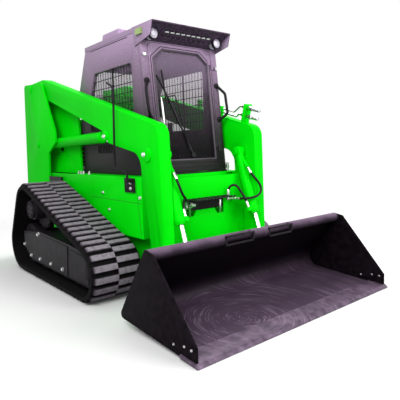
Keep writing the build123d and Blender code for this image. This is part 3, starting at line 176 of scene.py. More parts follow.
def placed(shape, origin, axis=(0, 0, 1), spin=0.0):
    """Move a shape so that its own z axis runs along an axis from an origin."""
    points, faces = shape
    turn = Vector((0, 0, 1)).rotation_difference(Vector(axis)).to_matrix() @ Matrix.Rotation(spin, 3, "Z")
    return points @ np.array(turn).T + np.array(origin, float), faces


def joined(shapes):
    """Several shapes as one: points in a row, face numbers shifted by the points before them."""
    points, faces, before = [], [], 0
    for shape_points, shape_faces in shapes:
        points.append(shape_points)
        faces += [[before + corner for corner in face] for face in shape_faces]
        before += len(shape_points)
    return np.concatenate(points), faces


def coordinates(mesh):
    """A mesh's points as an array of (x, y, z) rows."""
    points = np.empty(3 * len(mesh.vertices))
    mesh.vertices.foreach_get("co", points)
    return points.reshape(-1, 3)


def spline_points(route):
    """Points read from the smooth curve (a NURBS spline of order 3) that a route's points control."""
    curve = bpy.data.curves.new("route", "CURVE")
    curve.dimensions = "3D"
    spline = curve.splines.new("NURBS")
    spline.points.add(len(route) - 1)
    spline.points.foreach_set("co", np.c_[route, np.ones(len(route))].ravel())
    spline.order_u = spline_order
    spline.use_endpoint_u = True
    spline.resolution_u = spline_steps
    holder = bpy.data.objects.new("route", curve)
    line = bpy.data.meshes.new_from_object(holder)
    points = coordinates(line)
    bpy.data.objects.remove(holder)
    bpy.data.curves.remove(curve)
    bpy.data.meshes.remove(line)
    return points


def bars(points, radius, closed=False, sides=8):
    """Straight round bars from each point to the next, which overlap at the corners."""
    ends = points[1:] + points[:1] if closed else points[1:]
    return joined([carried([start, end], radius, sides) for start, end in zip(points, ends)])


def bolts(places, axis, across):
    """Hexagon heads on washers: a profile turned in 6 steps on a disc turned in 20, copied to each place."""
    washer_r, washer_h, head_r, side_h, top_r, top_h = bolt_shares * across
    washer = turned([(0, 0), (washer_r, 0), (washer_r, washer_h), (0, washer_h)], washer_sides)
    head = turned([(0, 0), (head_r, 0), (head_r, side_h), (top_r, top_h), (0, top_h)], head_sides)
    return joined([placed(shape, place, axis, head_turn) for place in places for shape in (washer, head)])


def piece(name, shape, material, body, bevel=0.0, smooth=True):
    """Put a shape into the scene as a named piece that rides on a body, with its edges rounded by a bevel."""
    points, faces = shape
    mesh = bpy.data.meshes.new(name)
    mesh.from_pydata(np.asarray(points).tolist(), [], faces)
    work = bmesh.new()
    work.from_mesh(mesh)
    bmesh.ops.remove_doubles(work, verts=work.verts, dist=same_within)
    bmesh.ops.recalc_face_normals(work, faces=work.faces)
    work.to_mesh(mesh)
    work.free()
    return finish_piece(name, mesh, material, body, bevel, smooth)


def finish_piece(name, mesh, material, body, bevel, smooth=True):
    """Give a mesh its object, material, rounded edges and body."""
    mesh.polygons.foreach_set("use_smooth", np.full(len(mesh.polygons), smooth))
    mesh.materials.clear()
    mesh.materials.append(material)
    made = bpy.data.objects.new(name, mesh)
    scene.collection.objects.link(made)
    if bevel:
        edge = made.modifiers.new("rounded edges", "BEVEL")
        edge.width = bevel
        edge.segments = 2
        edge.limit_method = "ANGLE"
        edge.angle_limit = sharp_angle
        edge.harden_normals = True
    else:
        mesh.set_sharp_from_angle(angle=sharp_angle)
    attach(made, body)
    return made


print("array tools ready")

# %% [markdown]
# ## Paint, rubber and steel
#
# A finish is a colour, a roughness and a little unevenness. One function makes them all. Its colours stand on a
# ramp, and what moves along the ramp is a noise on the piece's own coordinates: patches a hand wide for paint,
# finer ones for metal. The ramp can also follow the height, and on rubber it follows a number stored in the
# mesh.
# The lighter colours along these are painted light: a painted sky reflection or highlight on black paint, glass
# and rubber. A finer noise lifts the surface by a hair.

# %% Finishes
def new_node(tree, kind, values=()):
    """A new shader node of a kind, with the values of some of its inputs."""
    made = tree.nodes.new(f"ShaderNode{kind}")
    for key, value in dict(values).items():
        made.inputs[key].default_value = value
    return made


def linked(tree, *pairs):
    """Link each output to its input."""
    for start, end in pairs:
        tree.links.new(start, end)


def ramp_node(tree, stops):
    """A colour ramp with a colour at each position."""
    ramp = new_node(tree, "ValToRGB")
    elements = ramp.color_ramp.elements
    while len(elements) < len(stops):
        elements.new(0.5)
    for element, (position, colour) in zip(elements, stops):
        element.position = position
        element.color = (*colour, 1)
    return ramp


def finish(name, stops, rough, metal=0.0, coat=0.0, spec=0.5, patch=3.0, grain=300.0, bump=0.1,
           height=None, number=None, mottle=0.3):
    """A procedural finish: ramp position = noise, or height or a stored number plus a share of noise."""
    made = bpy.data.materials.new(name)
    made.use_nodes = True
    tree = made.node_tree
    shader = tree.nodes["Principled BSDF"]
    for socket, value in (("Roughness", rough), ("Metallic", metal), ("Coat Weight", coat),
                          ("Coat Roughness", 0.12), ("Specular IOR Level", spec)):
        shader.inputs[socket].default_value = value
    own = new_node(tree, "TexCoord").outputs["Object"]
    broad = new_node(tree, "TexNoise", {"Scale": patch, "Detail": 5.0})
    ramp = ramp_node(tree, stops)
    fine = new_node(tree, "TexNoise", {"Scale": grain})
    lift = new_node(tree, "Bump", {"Strength": bump, "Distance": 0.001})
    moved = broad.outputs["Fac"]
    if height or number:
        first, last = height or (0.0, 1.0)
        span = new_node(tree, "MapRange", {
            "From Min": first, "From Max": last, "To Min": -mottle / 2, "To Max": 1.0 - mottle / 2,
        })
        if height:
            split = new_node(tree, "SeparateXYZ")
            linked(tree, (own, split.inputs["Vector"]), (split.outputs["Z"], span.inputs["Value"]))
        else:
            stored = new_node(tree, "Attribute")
            stored.attribute_name = number
            linked(tree, (stored.outputs["Fac"], span.inputs["Value"]))
        total = new_node(tree, "Math", {1: mottle})
        total.operation = "MULTIPLY_ADD"
        linked(tree, (broad.outputs["Fac"], total.inputs[0]), (span.outputs["Result"], total.inputs[2]))
        moved = total.outputs["Value"]
    linked(
        tree, (own, broad.inputs["Vector"]), (own, fine.inputs["Vector"]), (moved, ramp.inputs["Fac"]),
        (ramp.outputs["Color"], shader.inputs["Base Color"]), (fine.outputs["Fac"], lift.inputs["Height"]),
        (lift.outputs["Normal"], shader.inputs["Normal"]),
    )
    return made


def plain(name, dark, light, rough, **more):
    """A finish between two shades."""
    return finish(name, [(0.35, dark), (0.68, light)], rough, **more)


GREEN = plain("green paint", (0.0, 0.66, 0.002), (0.0, 0.72, 0.004), 0.5, spec=0.04, bump=0.04)
# Height ramp: the cab's own black low down, lighter mauve towards the top as a painted sky reflection.
CAB = finish("cab paint", [(0.0, (0.014, 0.012, 0.014)), (0.27, (0.028, 0.023, 0.028)),
                           (0.48, (0.105, 0.072, 0.108)), (0.72, (0.205, 0.138, 0.213)),
                           (1.0, (0.37, 0.262, 0.40))],
             0.5, patch=60, grain=900, bump=0.25, height=(1.0, 2.12), mottle=0.34, spec=0.15)
# Darker finish for the visor's down-facing faces: painted shade.
VISOR_SHADE = plain("visor painted shade", (0.040, 0.022, 0.046), (0.095, 0.060, 0.104), 0.55, patch=50, grain=900, bump=0.25,
              spec=0.12)
# Height ramp: a lighter purple floor as a painted reflection, the bucket's black above it, a mauve roll top as a
# painted highlight.
BUCKET = finish("bucket paint", [(0.00, (0.058, 0.038, 0.061)), (0.14, (0.036, 0.023, 0.038)),
                                 (0.26, (0.012, 0.008, 0.012)), (0.42, (0.002, 0.001, 0.002)),
                                 (0.86, (0.004, 0.003, 0.004)), (0.93, (0.030, 0.020, 0.032)),
                                 (1.0, (0.13, 0.085, 0.135))],
                0.45, patch=7, bump=0.25, height=(0.0, 0.575), mottle=0.10, spec=0.05)
CHEEK = plain("cheek paint", (0.003, 0.002, 0.003), (0.008, 0.0055, 0.008), 0.6, patch=22, bump=0.3, spec=0.03)
# Pale bar tops, by the stored bar height, are a painted highlight; the rest keeps the rubber's black.
RUBBER = finish("track rubber", [(0.0, (0.003, 0.0025, 0.003)), (0.55, (0.008, 0.006, 0.008)),
                                 (0.93, (0.115, 0.096, 0.120)), (1.0, (0.20, 0.17, 0.205))],
                0.8, patch=30, grain=160, bump=0.35, number="lug", mottle=0.34, spec=0.08)
IRON = plain("dark iron", (0.010, 0.008, 0.010), (0.022, 0.018, 0.022), 0.55, metal=0.3, grain=120, bump=0.3,
             spec=0.1)
FRAME = plain("frame black", (0.005, 0.004, 0.005), (0.014, 0.011, 0.015), 0.5, patch=14, bump=0.25, spec=0.12)
CHROME = plain("rod chrome", (0.86, 0.86, 0.88), (0.92, 0.92, 0.94), 0.16, metal=1.0, bump=0.0)
VINYL = plain("seat vinyl", (0.012, 0.011, 0.013), (0.020, 0.019, 0.021), 0.5, grain=420, bump=0.35, spec=0.25)
PLASTIC = plain("black plastic", (0.006, 0.005, 0.006), (0.012, 0.011, 0.013), 0.45, grain=500, bump=0.15,
                spec=0.15)
PACK = plain("pack metal", (0.20, 0.20, 0.21), (0.28, 0.28, 0.29), 0.5, metal=0.7)
EDGE = plain("edge steel", (0.050, 0.032, 0.054), (0.125, 0.085, 0.13), 0.45, metal=0.2, patch=16, bump=0.25,
             spec=0.2)
ZINC = plain("zinc steel", (0.55, 0.55, 0.56), (0.78, 0.78, 0.78), 0.28, metal=1.0, patch=40)
HOSE = plain("hose rubber", (0.005, 0.004, 0.005), (0.010, 0.008, 0.010), 0.45, grain=500, bump=0.2, spec=0.2)
LENS = plain("lamp lens", (0.50, 0.45, 0.56), (0.72, 0.68, 0.78), 0.14, coat=0.5, patch=30, bump=0.0)
MARKER = plain("marker lens", (0.24, 0.36, 0.10), (0.34, 0.48, 0.16), 0.25, coat=0.3, bump=0.0)
TAIL = plain("tail lens", (0.45, 0.008, 0.006), (0.55, 0.012, 0.010), 0.2, coat=0.6, bump=0.0)
# Pale plates in the visor's slots stand for the daylight seen through them: painted light.
PAINTED_DAYLIGHT = plain("painted daylight slit", (0.86, 0.85, 0.87), (0.95, 0.94, 0.96), 0.8, bump=0.0)
# Height ramp: dark glass low down, light mauve towards the top as a painted sky reflection.
GLASS = finish("window glass", [(0.0, (0.010, 0.008, 0.010)), (0.55, (0.060, 0.045, 0.062)),
                                (1.0, (0.46, 0.33, 0.50))],
               0.35, bump=0.0, height=(1.15, 1.98), mottle=0.1, spec=0.08)
glass_cover = 0.24
GLASS.node_tree.nodes["Principled BSDF"].inputs["Alpha"].default_value = glass_cover
FINISHES = {
    "green_paint": GREEN, "black_paint": CAB, "bucket_paint": BUCKET, "track_rubber": RUBBER, "dark_iron": IRON,
    "frame_black": FRAME, "rod_chrome": CHROME, "window_glass": GLASS, "seat_vinyl": VINYL,
    "black_plastic": PLASTIC, "lamp_lens": LENS, "pack_metal": PACK, "edge_steel": EDGE, "zinc_steel": ZINC,
    "hose_rubber": HOSE,
}
print(len(FINISHES), "slots with a finish")

# %% [markdown]
# ## Scratches on the bucket's floor
#
# Stones roll round in a bucket and leave arcs of fine scratches. Drawing each one is hopeless. A noise that is
# read by the distance from a point and the turn round it, far finer along the distance than along the turn,
# gives such arcs. A ramp thins them to hair lines, a broad noise lets them come and go, and the height keeps
# them on the floor.

# %% Swirled scratches
swirl_middle, scratch_light, scratch_strength = (-0.35, -1.55, 0.05), (0.27, 0.20, 0.28), 0.6
arc_fineness, patch_fineness, faded_z, full_z = (70.0, 9.0, 1.0), 3.2, 0.144, 0.072


def scratched(made):
    """Mix a light colour in along arcs: noise of (distance, turn), thinned, times patches, times low height."""
    tree = made.node_tree
    shader = tree.nodes["Principled BSDF"]
    base = shader.inputs["Base Color"].links[0].from_socket
    own = tree.nodes["Texture Coordinate"].outputs["Object"]
    shift = new_node(tree, "Mapping", {"Location": tuple(-value for value in swirl_middle)})
    reach, turn = new_node(tree, "VectorMath"), new_node(tree, "TexGradient")
    reach.operation = "LENGTH"
    turn.gradient_type = "RADIAL"
    polar, stretch = new_node(tree, "CombineXYZ"), new_node(tree, "Mapping", {"Scale": arc_fineness})
    arcs = new_node(tree, "TexNoise", {"Scale": 1.0, "Detail": 4.0, "Roughness": 0.6, "Distortion": 0.6})
    thin = ramp_node(tree, [(0.50, (0, 0, 0)), (0.72, (scratch_strength,) * 3)])
    patches = new_node(tree, "TexNoise", {"Scale": patch_fineness, "Detail": 7.0})
    where = ramp_node(tree, [(0.36, (0, 0, 0)), (0.62, (1, 1, 1))])
    split = new_node(tree, "SeparateXYZ")
    low = new_node(tree, "MapRange", {"From Min": faded_z, "From Max": full_z})
    patched, both = new_node(tree, "Math"), new_node(tree, "Math")
    patched.operation = both.operation = "MULTIPLY"
    mixed = new_node(tree, "Mix")
    mixed.data_type = "RGBA"
    factor, under, over = (mixed.inputs[key] for key in (0, 6, 7))
    over.default_value = (*scratch_light, 1)
    linked(
        tree, (own, shift.inputs["Vector"]), (shift.outputs["Vector"], reach.inputs[0]),
        (shift.outputs["Vector"], turn.inputs["Vector"]), (reach.outputs["Value"], polar.inputs["X"]),
        (turn.outputs["Fac"], polar.inputs["Y"]), (polar.outputs["Vector"], stretch.inputs["Vector"]),
        (stretch.outputs["Vector"], arcs.inputs["Vector"]), (arcs.outputs["Fac"], thin.inputs["Fac"]),
        (own, patches.inputs["Vector"]), (own, split.inputs["Vector"]),
        (split.outputs["Z"], low.inputs["Value"]), (patches.outputs["Fac"], where.inputs["Fac"]),
        (thin.outputs["Color"], patched.inputs[0]), (where.outputs["Color"], patched.inputs[1]),
        (patched.outputs["Value"], both.inputs[0]), (low.outputs["Result"], both.inputs[1]),
        (both.outputs["Value"], factor), (base, under), (mixed.outputs[2], shader.inputs["Base Color"]),
    )


for worn in (EDGE, BUCKET):
    scratched(worn)
    print("scratches on", worn.name)

# %% [markdown]
# ## Hoses to the tilt cylinders
#
# A hydraulic hose is stiff: it leaves its fitting straight, bends in a few wide curves and enters the next
# fitting straight. So its route is a short list of given points that pull a smooth curve, and the tube is a
# circle carried along that curve. One end's sleeve rides on the lift arm and the other's on a barrel that swings
# a few degrees; the tube itself rides on neither body and is not made to bend.

# %% Hoses
barrel_x = float(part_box("tilt_rod_left")[0][0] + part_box("tilt_rod_left")[1][0]) / 2
hose_r, hose_sides, sleeve_sides = 0.010, 16, 18
hose_routes = {
    ("left", "upper"): [
        (0, -861, 990), (0, -897, 945), (30, -925, 895), (66, -940, 845), (74, -950, 795), (32, -957, 752),
        (-34, -956, 740), (-84, -922, 733), (-104, -862, 729), (-104, -800, 727),
    ],
    ("left", "lower"): [
        (-57, -914, 654), (-58, -898, 700), (-72, -884, 745), (-96, -866, 789), (-112, -855, 827),
        (-132, -835, 850), (-152, -810, 846), (-166, -793, 822), (-171, -786, 787), (-172, -785, 752),
    ],
    ("right", "upper"): [
        (0, -861, 990), (-1, -897, 945), (-14, -912, 892), (-38, -908, 838), (-80, -888, 796),
        (-126, -860, 764), (-172, -826, 734), (-218, -800, 716),
    ],
    ("right", "lower"): [
        (-57, -914, 654), (-58, -898, 700), (-74, -878, 744), (-102, -846, 770), (-136, -812, 772),
        (-162, -793, 756), (-172, -785, 725),
    ],
}
sleeve = [(0.0, 0), (0.0135, 0), (0.0155, 0.003), (0.0155, 0.016), (0.0125, 0.018), (0.0125, 0.022),
          (0.0138, 0.024), (0.0138, 0.056), (0.0115, 0.060), (0.0, 0.060)]
for (side, level), route in hose_routes.items():
    sign = dict(SIDES)[side]
    corners = np.array([(sign * (barrel_x + out / 1000), y / 1000, z / 1000) for out, y, z in route])
    path = spline_points(corners)
    points, faces = carried(path, hose_r, hose_sides)
    name = f"hose_{side}_{level}"
    mesh = bpy.data.meshes.new(f"{name}_tube")
    mesh.from_pydata(points.tolist(), [], faces)
    mesh.polygons.foreach_set("use_smooth", np.full(len(mesh.polygons), True))
    mesh.materials.append(HOSE)
    tube = bpy.data.objects.new(f"{name}_tube", mesh)
    scene.collection.objects.link(tube)
    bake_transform(tube)
    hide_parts(name)
    ends = [
        piece(f"{name}_{end}_sleeve", placed(turned(sleeve, sleeve_sides), place, step), ZINC, body)
        for end, body, place, step in (
            ("barrel", f"tilt_barrel_{side}", path[0], path[1] - path[0]),
            ("panel", "lift_arm", path[-1], path[-2] - path[-1]),
        )
    ]

# %% [markdown]
# ## Rounded edges on the sheet metal
#
# Bent and welded steel has no razor edges, and it is the thin bright line along an edge that tells the eye it is
# steel. A solid from a drawing arrives as loose triangles, so a copy is merged, its flat faces are joined up,
# and a small bevel rounds every edge that turns sharply. The bucket's heel is rolled to a wide curve, so there
# the long edges get a wide bevel first. The cab's back wall gets its wide rear window here, as a box cut out,
# and the mesh guards are thinned, because thick bars hide the daylight behind them when seen at a slant.

# %% Copies with rounded edges
SLOTS = {
    "green_paint": "tub tie_downs side_covers towers hood tail_door arm_right arm_left cross_panel "
                   "coupler_bracket lift_barrel_right lift_barrel_left tilt_barrel_right tilt_barrel_left hitch",
    "black_paint": "cab_sides cab_back cab_front cab_floor cab_roof roof_box door_frame",
    "bucket_paint": "bucket_shell bucket_sides",
    "dark_iron": "track_wheels final_drives",
    "frame_black": "track_frames stay_rod step_tread grab_handles lap_bar seat_base",
    "rod_chrome": "lift_rod_right lift_rod_left tilt_rod_right tilt_rod_left",
    "window_glass": "cab_glass door_glass",
    "black_plastic": "consoles wiper window_guards",
    "lamp_lens": "lamps",
    "pack_metal": "power_pack",
    "edge_steel": "cutting_edge",
    "zinc_steel": "couplers panel_pipes",
}
BEVELS = {
    "green_paint": 0.005, "black_paint": 0.006, "bucket_paint": 0.003, "dark_iron": 0.004, "frame_black": 0.003,
    "black_plastic": 0.002, "pack_metal": 0.006, "edge_steel": 0.002, "rod_chrome": 0.002, "zinc_steel": 0.001,
}
heel_y, heel_z, heel_round, heel_long, heel_steps = -1.20, 0.22, 0.045, 1.0, 6
join_within, flat_within = 2e-5, math.radians(0.3)
window_half, window_z, window_margin = 0.335, (1.505, 1.955), 0.1
guard_share = 0.25


def merged(node):
    """A merged copy of a node's mesh: doubles joined, flat neighbours dissolved into one face."""
    work = bmesh.new()
    work.from_mesh(nodes[node].data)
    bmesh.ops.remove_doubles(work, verts=work.verts, dist=join_within)
    bmesh.ops.dissolve_limit(work, angle_limit=flat_within, verts=work.verts, edges=work.edges)
    if node == "bucket_shell":
        heel = [
            edge for edge in work.edges
            if edge.calc_length() > heel_long and all(v.co.y > heel_y and v.co.z < heel_z for v in edge.verts)
        ]
        bmesh.ops.bevel(work, geom=heel, offset=heel_round, segments=heel_steps, profile=0.5, affect="EDGES")
        print("heel edges rolled:", len(heel))
    mesh = bpy.data.meshes.new(f"{node}_shape")
    work.to_mesh(mesh)
    work.free()
    return mesh


def cut_window(mesh, low, high):
    """The mesh with a box-shaped opening from low to high cut through it."""
    points, faces = block(low, high)
    tool_mesh = bpy.data.meshes.new("window tool")
    tool_mesh.from_pydata(points.tolist(), [], faces)
    tool, wall = bpy.data.objects.new("window tool", tool_mesh), bpy.data.objects.new("wall", mesh)
    for made in (tool, wall):
        scene.collection.objects.link(made)
    cut = wall.modifiers.new("window", "BOOLEAN")
    cut.object = tool
    cut.operation = "DIFFERENCE"
    opened = bpy.data.meshes.new_from_object(wall.evaluated_get(bpy.context.evaluated_depsgraph_get()))
    for made in (tool, wall):
        bpy.data.objects.remove(made)
    return opened


def flattened(mesh, share):
    """Thin the mesh guards to a share of their depth: each half keeps its own middle plane in x."""
    points = coordinates(mesh)
    out = np.abs(points[:, 0])
    middle = np.sign(points[:, 0]) * (out.min() + out.max()) / 2
    points[:, 0] = middle + (points[:, 0] - middle) * share
    mesh.vertices.foreach_set("co", points.ravel())


wall_low, wall_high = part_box("cab_back")
window_low = np.array((-window_half, wall_low[1] - window_margin, window_z[0]))
window_high = np.array((window_half, wall_high[1] + window_margin, window_z[1]))
OWN_FINISH = {"bucket_sides": CHEEK}
shapes = {}
for slot, names in SLOTS.items():
    for node in names.split():
        if slot == "window_glass":
            nodes[node].data.materials.clear()
            nodes[node].data.materials.append(GLASS)
            continue
        material = OWN_FINISH.get(node, FINISHES[slot])
        mesh = merged(node)
        if node == "cab_back":
            mesh = cut_window(mesh, window_low, window_high)
        if node == "window_guards":
            flattened(mesh, guard_share)
        shapes[node] = finish_piece(
            f"{node}_shape", mesh, material, nodes[node]["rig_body"], BEVELS.get(slot, 0.0)
        )
        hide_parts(node)
print(len(shapes), "pieces with rounded edges")

# %% [markdown]
# ## Two finishes on one piece
#
# The lamps came as one node: two clear lenses in the visor, two yellow-green markers on its flanges and two red
# tail lamps. And the visor's sloped underside never sees the sky, so it gets a darker finish as painted shade. A
# mesh may hold several materials, with a number on each face that says which. The number follows from where the
# face is.

# %% Lamps and visor
def face_middles(mesh):
    """Middle point and normal of every face, as two arrays."""
    middles, normals = np.empty((2, 3 * len(mesh.polygons)))
    mesh.polygons.foreach_get("center", middles)
    mesh.polygons.foreach_get("normal", normals)
    return middles.reshape(-1, 3), normals.reshape(-1, 3)


lamp_mesh = shapes["lamps"].data
middles, _ = face_middles(lamp_mesh)
lamp_mesh.materials.append(MARKER)
lamp_mesh.materials.append(TAIL)
flange_x, rear_y, visor_y = float(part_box("cab_sides")[1][0]), 1.0, -0.47
kinds = np.where(middles[:, 1] > rear_y, 2, np.where(np.abs(middles[:, 0]) > flange_x, 1, 0))
lamp_mesh.polygons.foreach_set("material_index", kinds.astype(np.int32))

roof_mesh = shapes["cab_roof"].data
middles, normals = face_middles(roof_mesh)
# Faces that point down, or sit under the visor facing neither up nor sideways, get the painted shade.
roof_mesh.materials.append(VISOR_SHADE)
down, not_up, not_sideways = normals[:, 2] < -0.3, normals[:, 2] < 0.5, np.abs(normals[:, 0]) < 0.5
under = down | ((middles[:, 1] < visor_y) & not_up & not_sideways)
roof_mesh.polygons.foreach_set("material_index", under.astype(np.int32))
print("lamp faces by kind", np.bincount(kinds), "- visor faces", int(under.sum()))

# %% [markdown]
# ## Rubber tracks
#
# A rubber track is one endless belt with two rows of bars moulded on, half a step apart, so that one bar always
# grips. It is a surface of two parameters: the way round the loop and the way round the belt's section. The
# loop is what a string does when it is pulled tight round three wheels. The height above the belt is a row of
# flat-topped waves, which fade out before the belt's edge, and the inside has shallow ribs. The height is also
# stored as a number, so the finish can paint a highlight on the bar tops, while the gaps keep the rubber's
# black.

# %% Track belts
wheels = np.array([(-0.395, 0.238, 0.238), (0.985, 0.260, 0.260), (0.770, 0.630, 0.260)])
belt_inner_x, belt_width, belt_thickness = 0.560, 0.432, 0.030
bar_count, bar_height, bar_share, bar_flank = 54, 0.028, 0.70, 0.009
bar_end, rib_depth, steps_per_bar, loop_steps = 0.020, 0.005, 20, 7200


def pulled_tight(inset, count):
    """Points and outward directions along the tight loop: for each direction the wheel that reaches furthest."""
    angle = np.linspace(0, 2 * np.pi, loop_steps, endpoint=False)
    out = np.stack([np.cos(angle), np.sin(angle)], axis=1)
    furthest = np.argmax(out @ wheels[:, :2].T + wheels[:, 2], axis=1)
    loop = wheels[furthest, :2] + (wheels[furthest, 2] - inset)[:, None] * out
    loop = np.concatenate([loop, loop[:1]])
    way = np.concatenate([[0], np.cumsum(np.linalg.norm(np.diff(loop, axis=0), axis=1))])
    even = np.linspace(0, way[-1], count, endpoint=False)
    points = np.stack([np.interp(even, way, loop[:, axis]) for axis in (0, 1)], axis=1)
    step = np.roll(points, -1, axis=0) - np.roll(points, 1, axis=0)
    step /= np.linalg.norm(step, axis=1)[:, None]
    return points, np.stack([step[:, 1], -step[:, 0]], axis=1), way[-1]


def eased(value):
    """Smooth step from 0 to 1: 3v^2 - 2v^3."""
    value = np.clip(value, 0, 1)
    return value * value * (3 - 2 * value)


def track_belt(sign):
    """Belt surface (way round, way across): loop point + outward direction times the height of the bars."""
    count = bar_count * steps_per_bar
    points, out, length = pulled_tight(bar_height, count)
    pitch = length / bar_count
    half = belt_width / 2
    near_edge = np.array([0, 0.010, 0.020, 0.030, 0.045, half - 0.05, half - 0.002])
    across = np.concatenate([near_edge, belt_width - near_edge[::-1]])
    phase = np.arange(count)[:, None] / steps_per_bar + np.where(across > half, 0.5, 0.0)
    from_middle = np.abs(phase % 1 - 0.5) * pitch
    fade = eased((np.minimum(across, belt_width - across) - bar_end / 4) / bar_end)
    bar = eased((bar_share * pitch / 2 - from_middle) / bar_flank) * fade
    inside = np.array([belt_width, half, 0.0])
    rib = rib_depth * (0.5 + 0.5 * np.cos(4 * np.pi * phase[:, :1])) * np.array([0, 1, 0])
    height = np.concatenate([bar_height * bar, rib - belt_thickness], axis=1)
    x = np.broadcast_to(sign * (belt_inner_x + np.concatenate([across, inside])), height.shape)
    yz = points[:, None] + out[:, None] * height[:, :, None]
    grid = np.concatenate([x[:, :, None], yz], axis=2)
    number = np.concatenate([bar, np.zeros((count, 3))], axis=1)
    row, column = np.meshgrid(np.arange(count), np.arange(height.shape[1]), indexing="ij")
    columns = height.shape[1]
    after, beside = (row + 1) % count, (column + 1) % columns
    faces = np.stack([row * columns + column, after * columns + column, after * columns + beside,
                      row * columns + beside], axis=-1).reshape(-1, 4)
    return (grid.reshape(-1, 3), faces.tolist()), number.ravel()


belts = [track_belt(sign) for side, sign in SIDES]
track = piece("track_belts", joined([shape for shape, number in belts]), RUBBER, nodes["tracks"]["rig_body"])
stored = track.data.attributes.new("lug", "FLOAT", "POINT")
stored.data.foreach_set("value", np.concatenate([number for shape, number in belts]))
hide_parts("tracks")
print("track belts:", len(track.data.polygons), "faces")

# %% [markdown]
# ## Stuffed seat
#
# A seat cushion is foam under vinyl. The cover is pulled tight at the seams and the foam pushes it out between
# them. Blender's cloth does just that: a slightly small closed skin is blown up for a second and stopped when it
# has moved far enough. The backrest is a low one: daylight shows over it through the windows.

# %% Cushion and backrest
voxel, swell, soft_frames, pressure, back_share = 0.006, 0.022, 20, 4.0, 0.42


def stuffed(node, tall=1.0):
    """A padded copy of a node: shrunk by the swell, meshed evenly, blown up as cloth and held to the swell."""
    mesh = merged(node)
    skin = bpy.data.objects.new(f"{node}_pad", mesh)
    scene.collection.objects.link(skin)
    points = coordinates(mesh)
    low, high = points.min(0), points.max(0)
    middle, half = (low + high) / 2, (high - low) / 2
    points = middle + (points - middle) * (half - swell) / half
    points[:, 2] = low[2] + swell + (points[:, 2] - low[2] - swell) * tall
    mesh.vertices.foreach_set("co", points.ravel())
    even = skin.modifiers.new("even mesh", "REMESH")
    even.mode = "VOXEL"
    even.voxel_size = voxel
    graph = bpy.context.evaluated_depsgraph_get()
    meshed = bpy.data.meshes.new_from_object(skin.evaluated_get(graph))
    skin.modifiers.clear()
    skin.data = meshed
    start = ended = coordinates(meshed)
    cloth = skin.modifiers.new("cloth", "CLOTH")
    cloth.settings.use_pressure = True
    cloth.settings.uniform_pressure_force = pressure
    cloth.settings.effector_weights.gravity = 0.0
    cloth.point_cache.frame_start, cloth.point_cache.frame_end = 1, soft_frames
    for number in range(1, soft_frames + 1):
        scene.frame_set(number)
    ended = coordinates(skin.evaluated_get(bpy.context.evaluated_depsgraph_get()).data)
    skin.modifiers.clear()
    scene.frame_set(1)
    move = ended - start
    far = np.linalg.norm(move, axis=1)[:, None]
    held = start + move * np.minimum(1, swell / np.maximum(far, 1e-9))
    meshed.vertices.foreach_set("co", held.ravel())
    bpy.data.objects.remove(skin)
    pad = finish_piece(f"{node}_pad", meshed, VINYL, nodes[node]["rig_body"], 0.0)
    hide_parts(node)
    print(node, "padded,", len(meshed.polygons), "faces, moved up to", round(float(far.max()), 4), "m")


stuffed("seat_cushion")
stuffed("seat_back", tall=back_share)

# %% [markdown]
# ## Fasteners and seams on the chassis
#
# A big machine is read from its small parts: bolt heads, seams between covers, hub caps, lamp rings. They are
# all turned profiles, thin bars or plates, placed on the faces that the drawing gives. Both sides get them.

# %% Covers, track frames and drives
cover_x = float(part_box("side_covers")[1][0])
plate_x = float(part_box("track_frames")[1][0])
drive_x = float(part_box("final_drives")[1][0])
drive_y, drive_z = wheels[2, :2]
seam_r, drive_ring_r, drive_bolt_count = 0.0016, 0.066, 8
cap_ys, cap_z = (0.075, 0.331, 0.594, 0.830), 0.172
for side, sign in SIDES:
    out = (sign, 0, 0)
    face = sign * cover_x
    piece(f"cover_bolts_{side}",
          bolts([(face, -0.009, 0.808), (face, -0.618, 0.798), (face, -0.114, 0.665)], out, 0.022),
          ZINC, "chassis")
    piece(f"cover_seams_{side}", joined([
        bars([(face, 0.242, 0.761), (face, -0.636, 0.752)], seam_r),
        bars([(face, -0.560, 0.930), (face, -0.610, 0.500)], seam_r),
    ]), PLASTIC, "chassis")
    # A black block on the tower's face stands for the dark inside of a slot: painted shade.
    slot_low, slot_high = (sign * 0.560, 0.830, 0.876), (sign * 0.5768, 1.150, 0.922)
    piece(f"tower_slot_shade_{side}", block(slot_low, slot_high), FRAME, "chassis", 0.0003)
    dome = [(0, 0), (0.024, 0), (0.024, 0.005), (0.015, 0.008), (0.015, 0.018), (0.009, 0.023), (0, 0.024)]
    roller_caps = [(sign * plate_x, y, cap_z) for y in cap_ys]
    roller_caps += [(sign * plate_x, 1.000, 0.262), (sign * plate_x, 0.612, 0.405)]
    piece(f"roller_caps_{side}", joined([placed(turned(dome, 20), place, out) for place in roller_caps]),
          ZINC, "chassis")
    cap = [(0, 0), (0.062, 0), (0.062, 0.010), (0.050, 0.018), (0.020, 0.022), (0, 0.022)]
    piece(f"idler_cap_{side}", placed(turned(cap, 28), (sign * plate_x, wheels[0, 0], wheels[0, 1]), out),
          IRON, "chassis")
    ring = [(sign * drive_x, drive_y + drive_ring_r * math.cos(t), drive_z + drive_ring_r * math.sin(t))
            for t in np.linspace(0, 2 * np.pi, drive_bolt_count, endpoint=False)]
    piece(f"drive_bolts_{side}", bolts(ring, out, 0.014), IRON, "chassis")
    cover = [(-0.097, 0.374), (-0.345, 0.352), (-0.432, 0.295), (-0.408, 0.132), (-0.050, 0.124)]
    rear = [(0.556, 0.412), (-0.047, 0.390), (-0.010, 0.124), (0.845, 0.140), (1.010, 0.250), (1.005, 0.376)]
    for label, corners in (("front", cover), ("rear", rear)):
        slab = np.array([(sign * (plate_x + depth), y, z) for depth in (-0.002, 0.007) for y, z in corners])
        piece(f"frame_cover_{label}_{side}", (slab, ring_faces(2, len(corners))), FRAME, "chassis",
              0.003)
print("chassis fasteners on", cover_x, plate_x, drive_x)
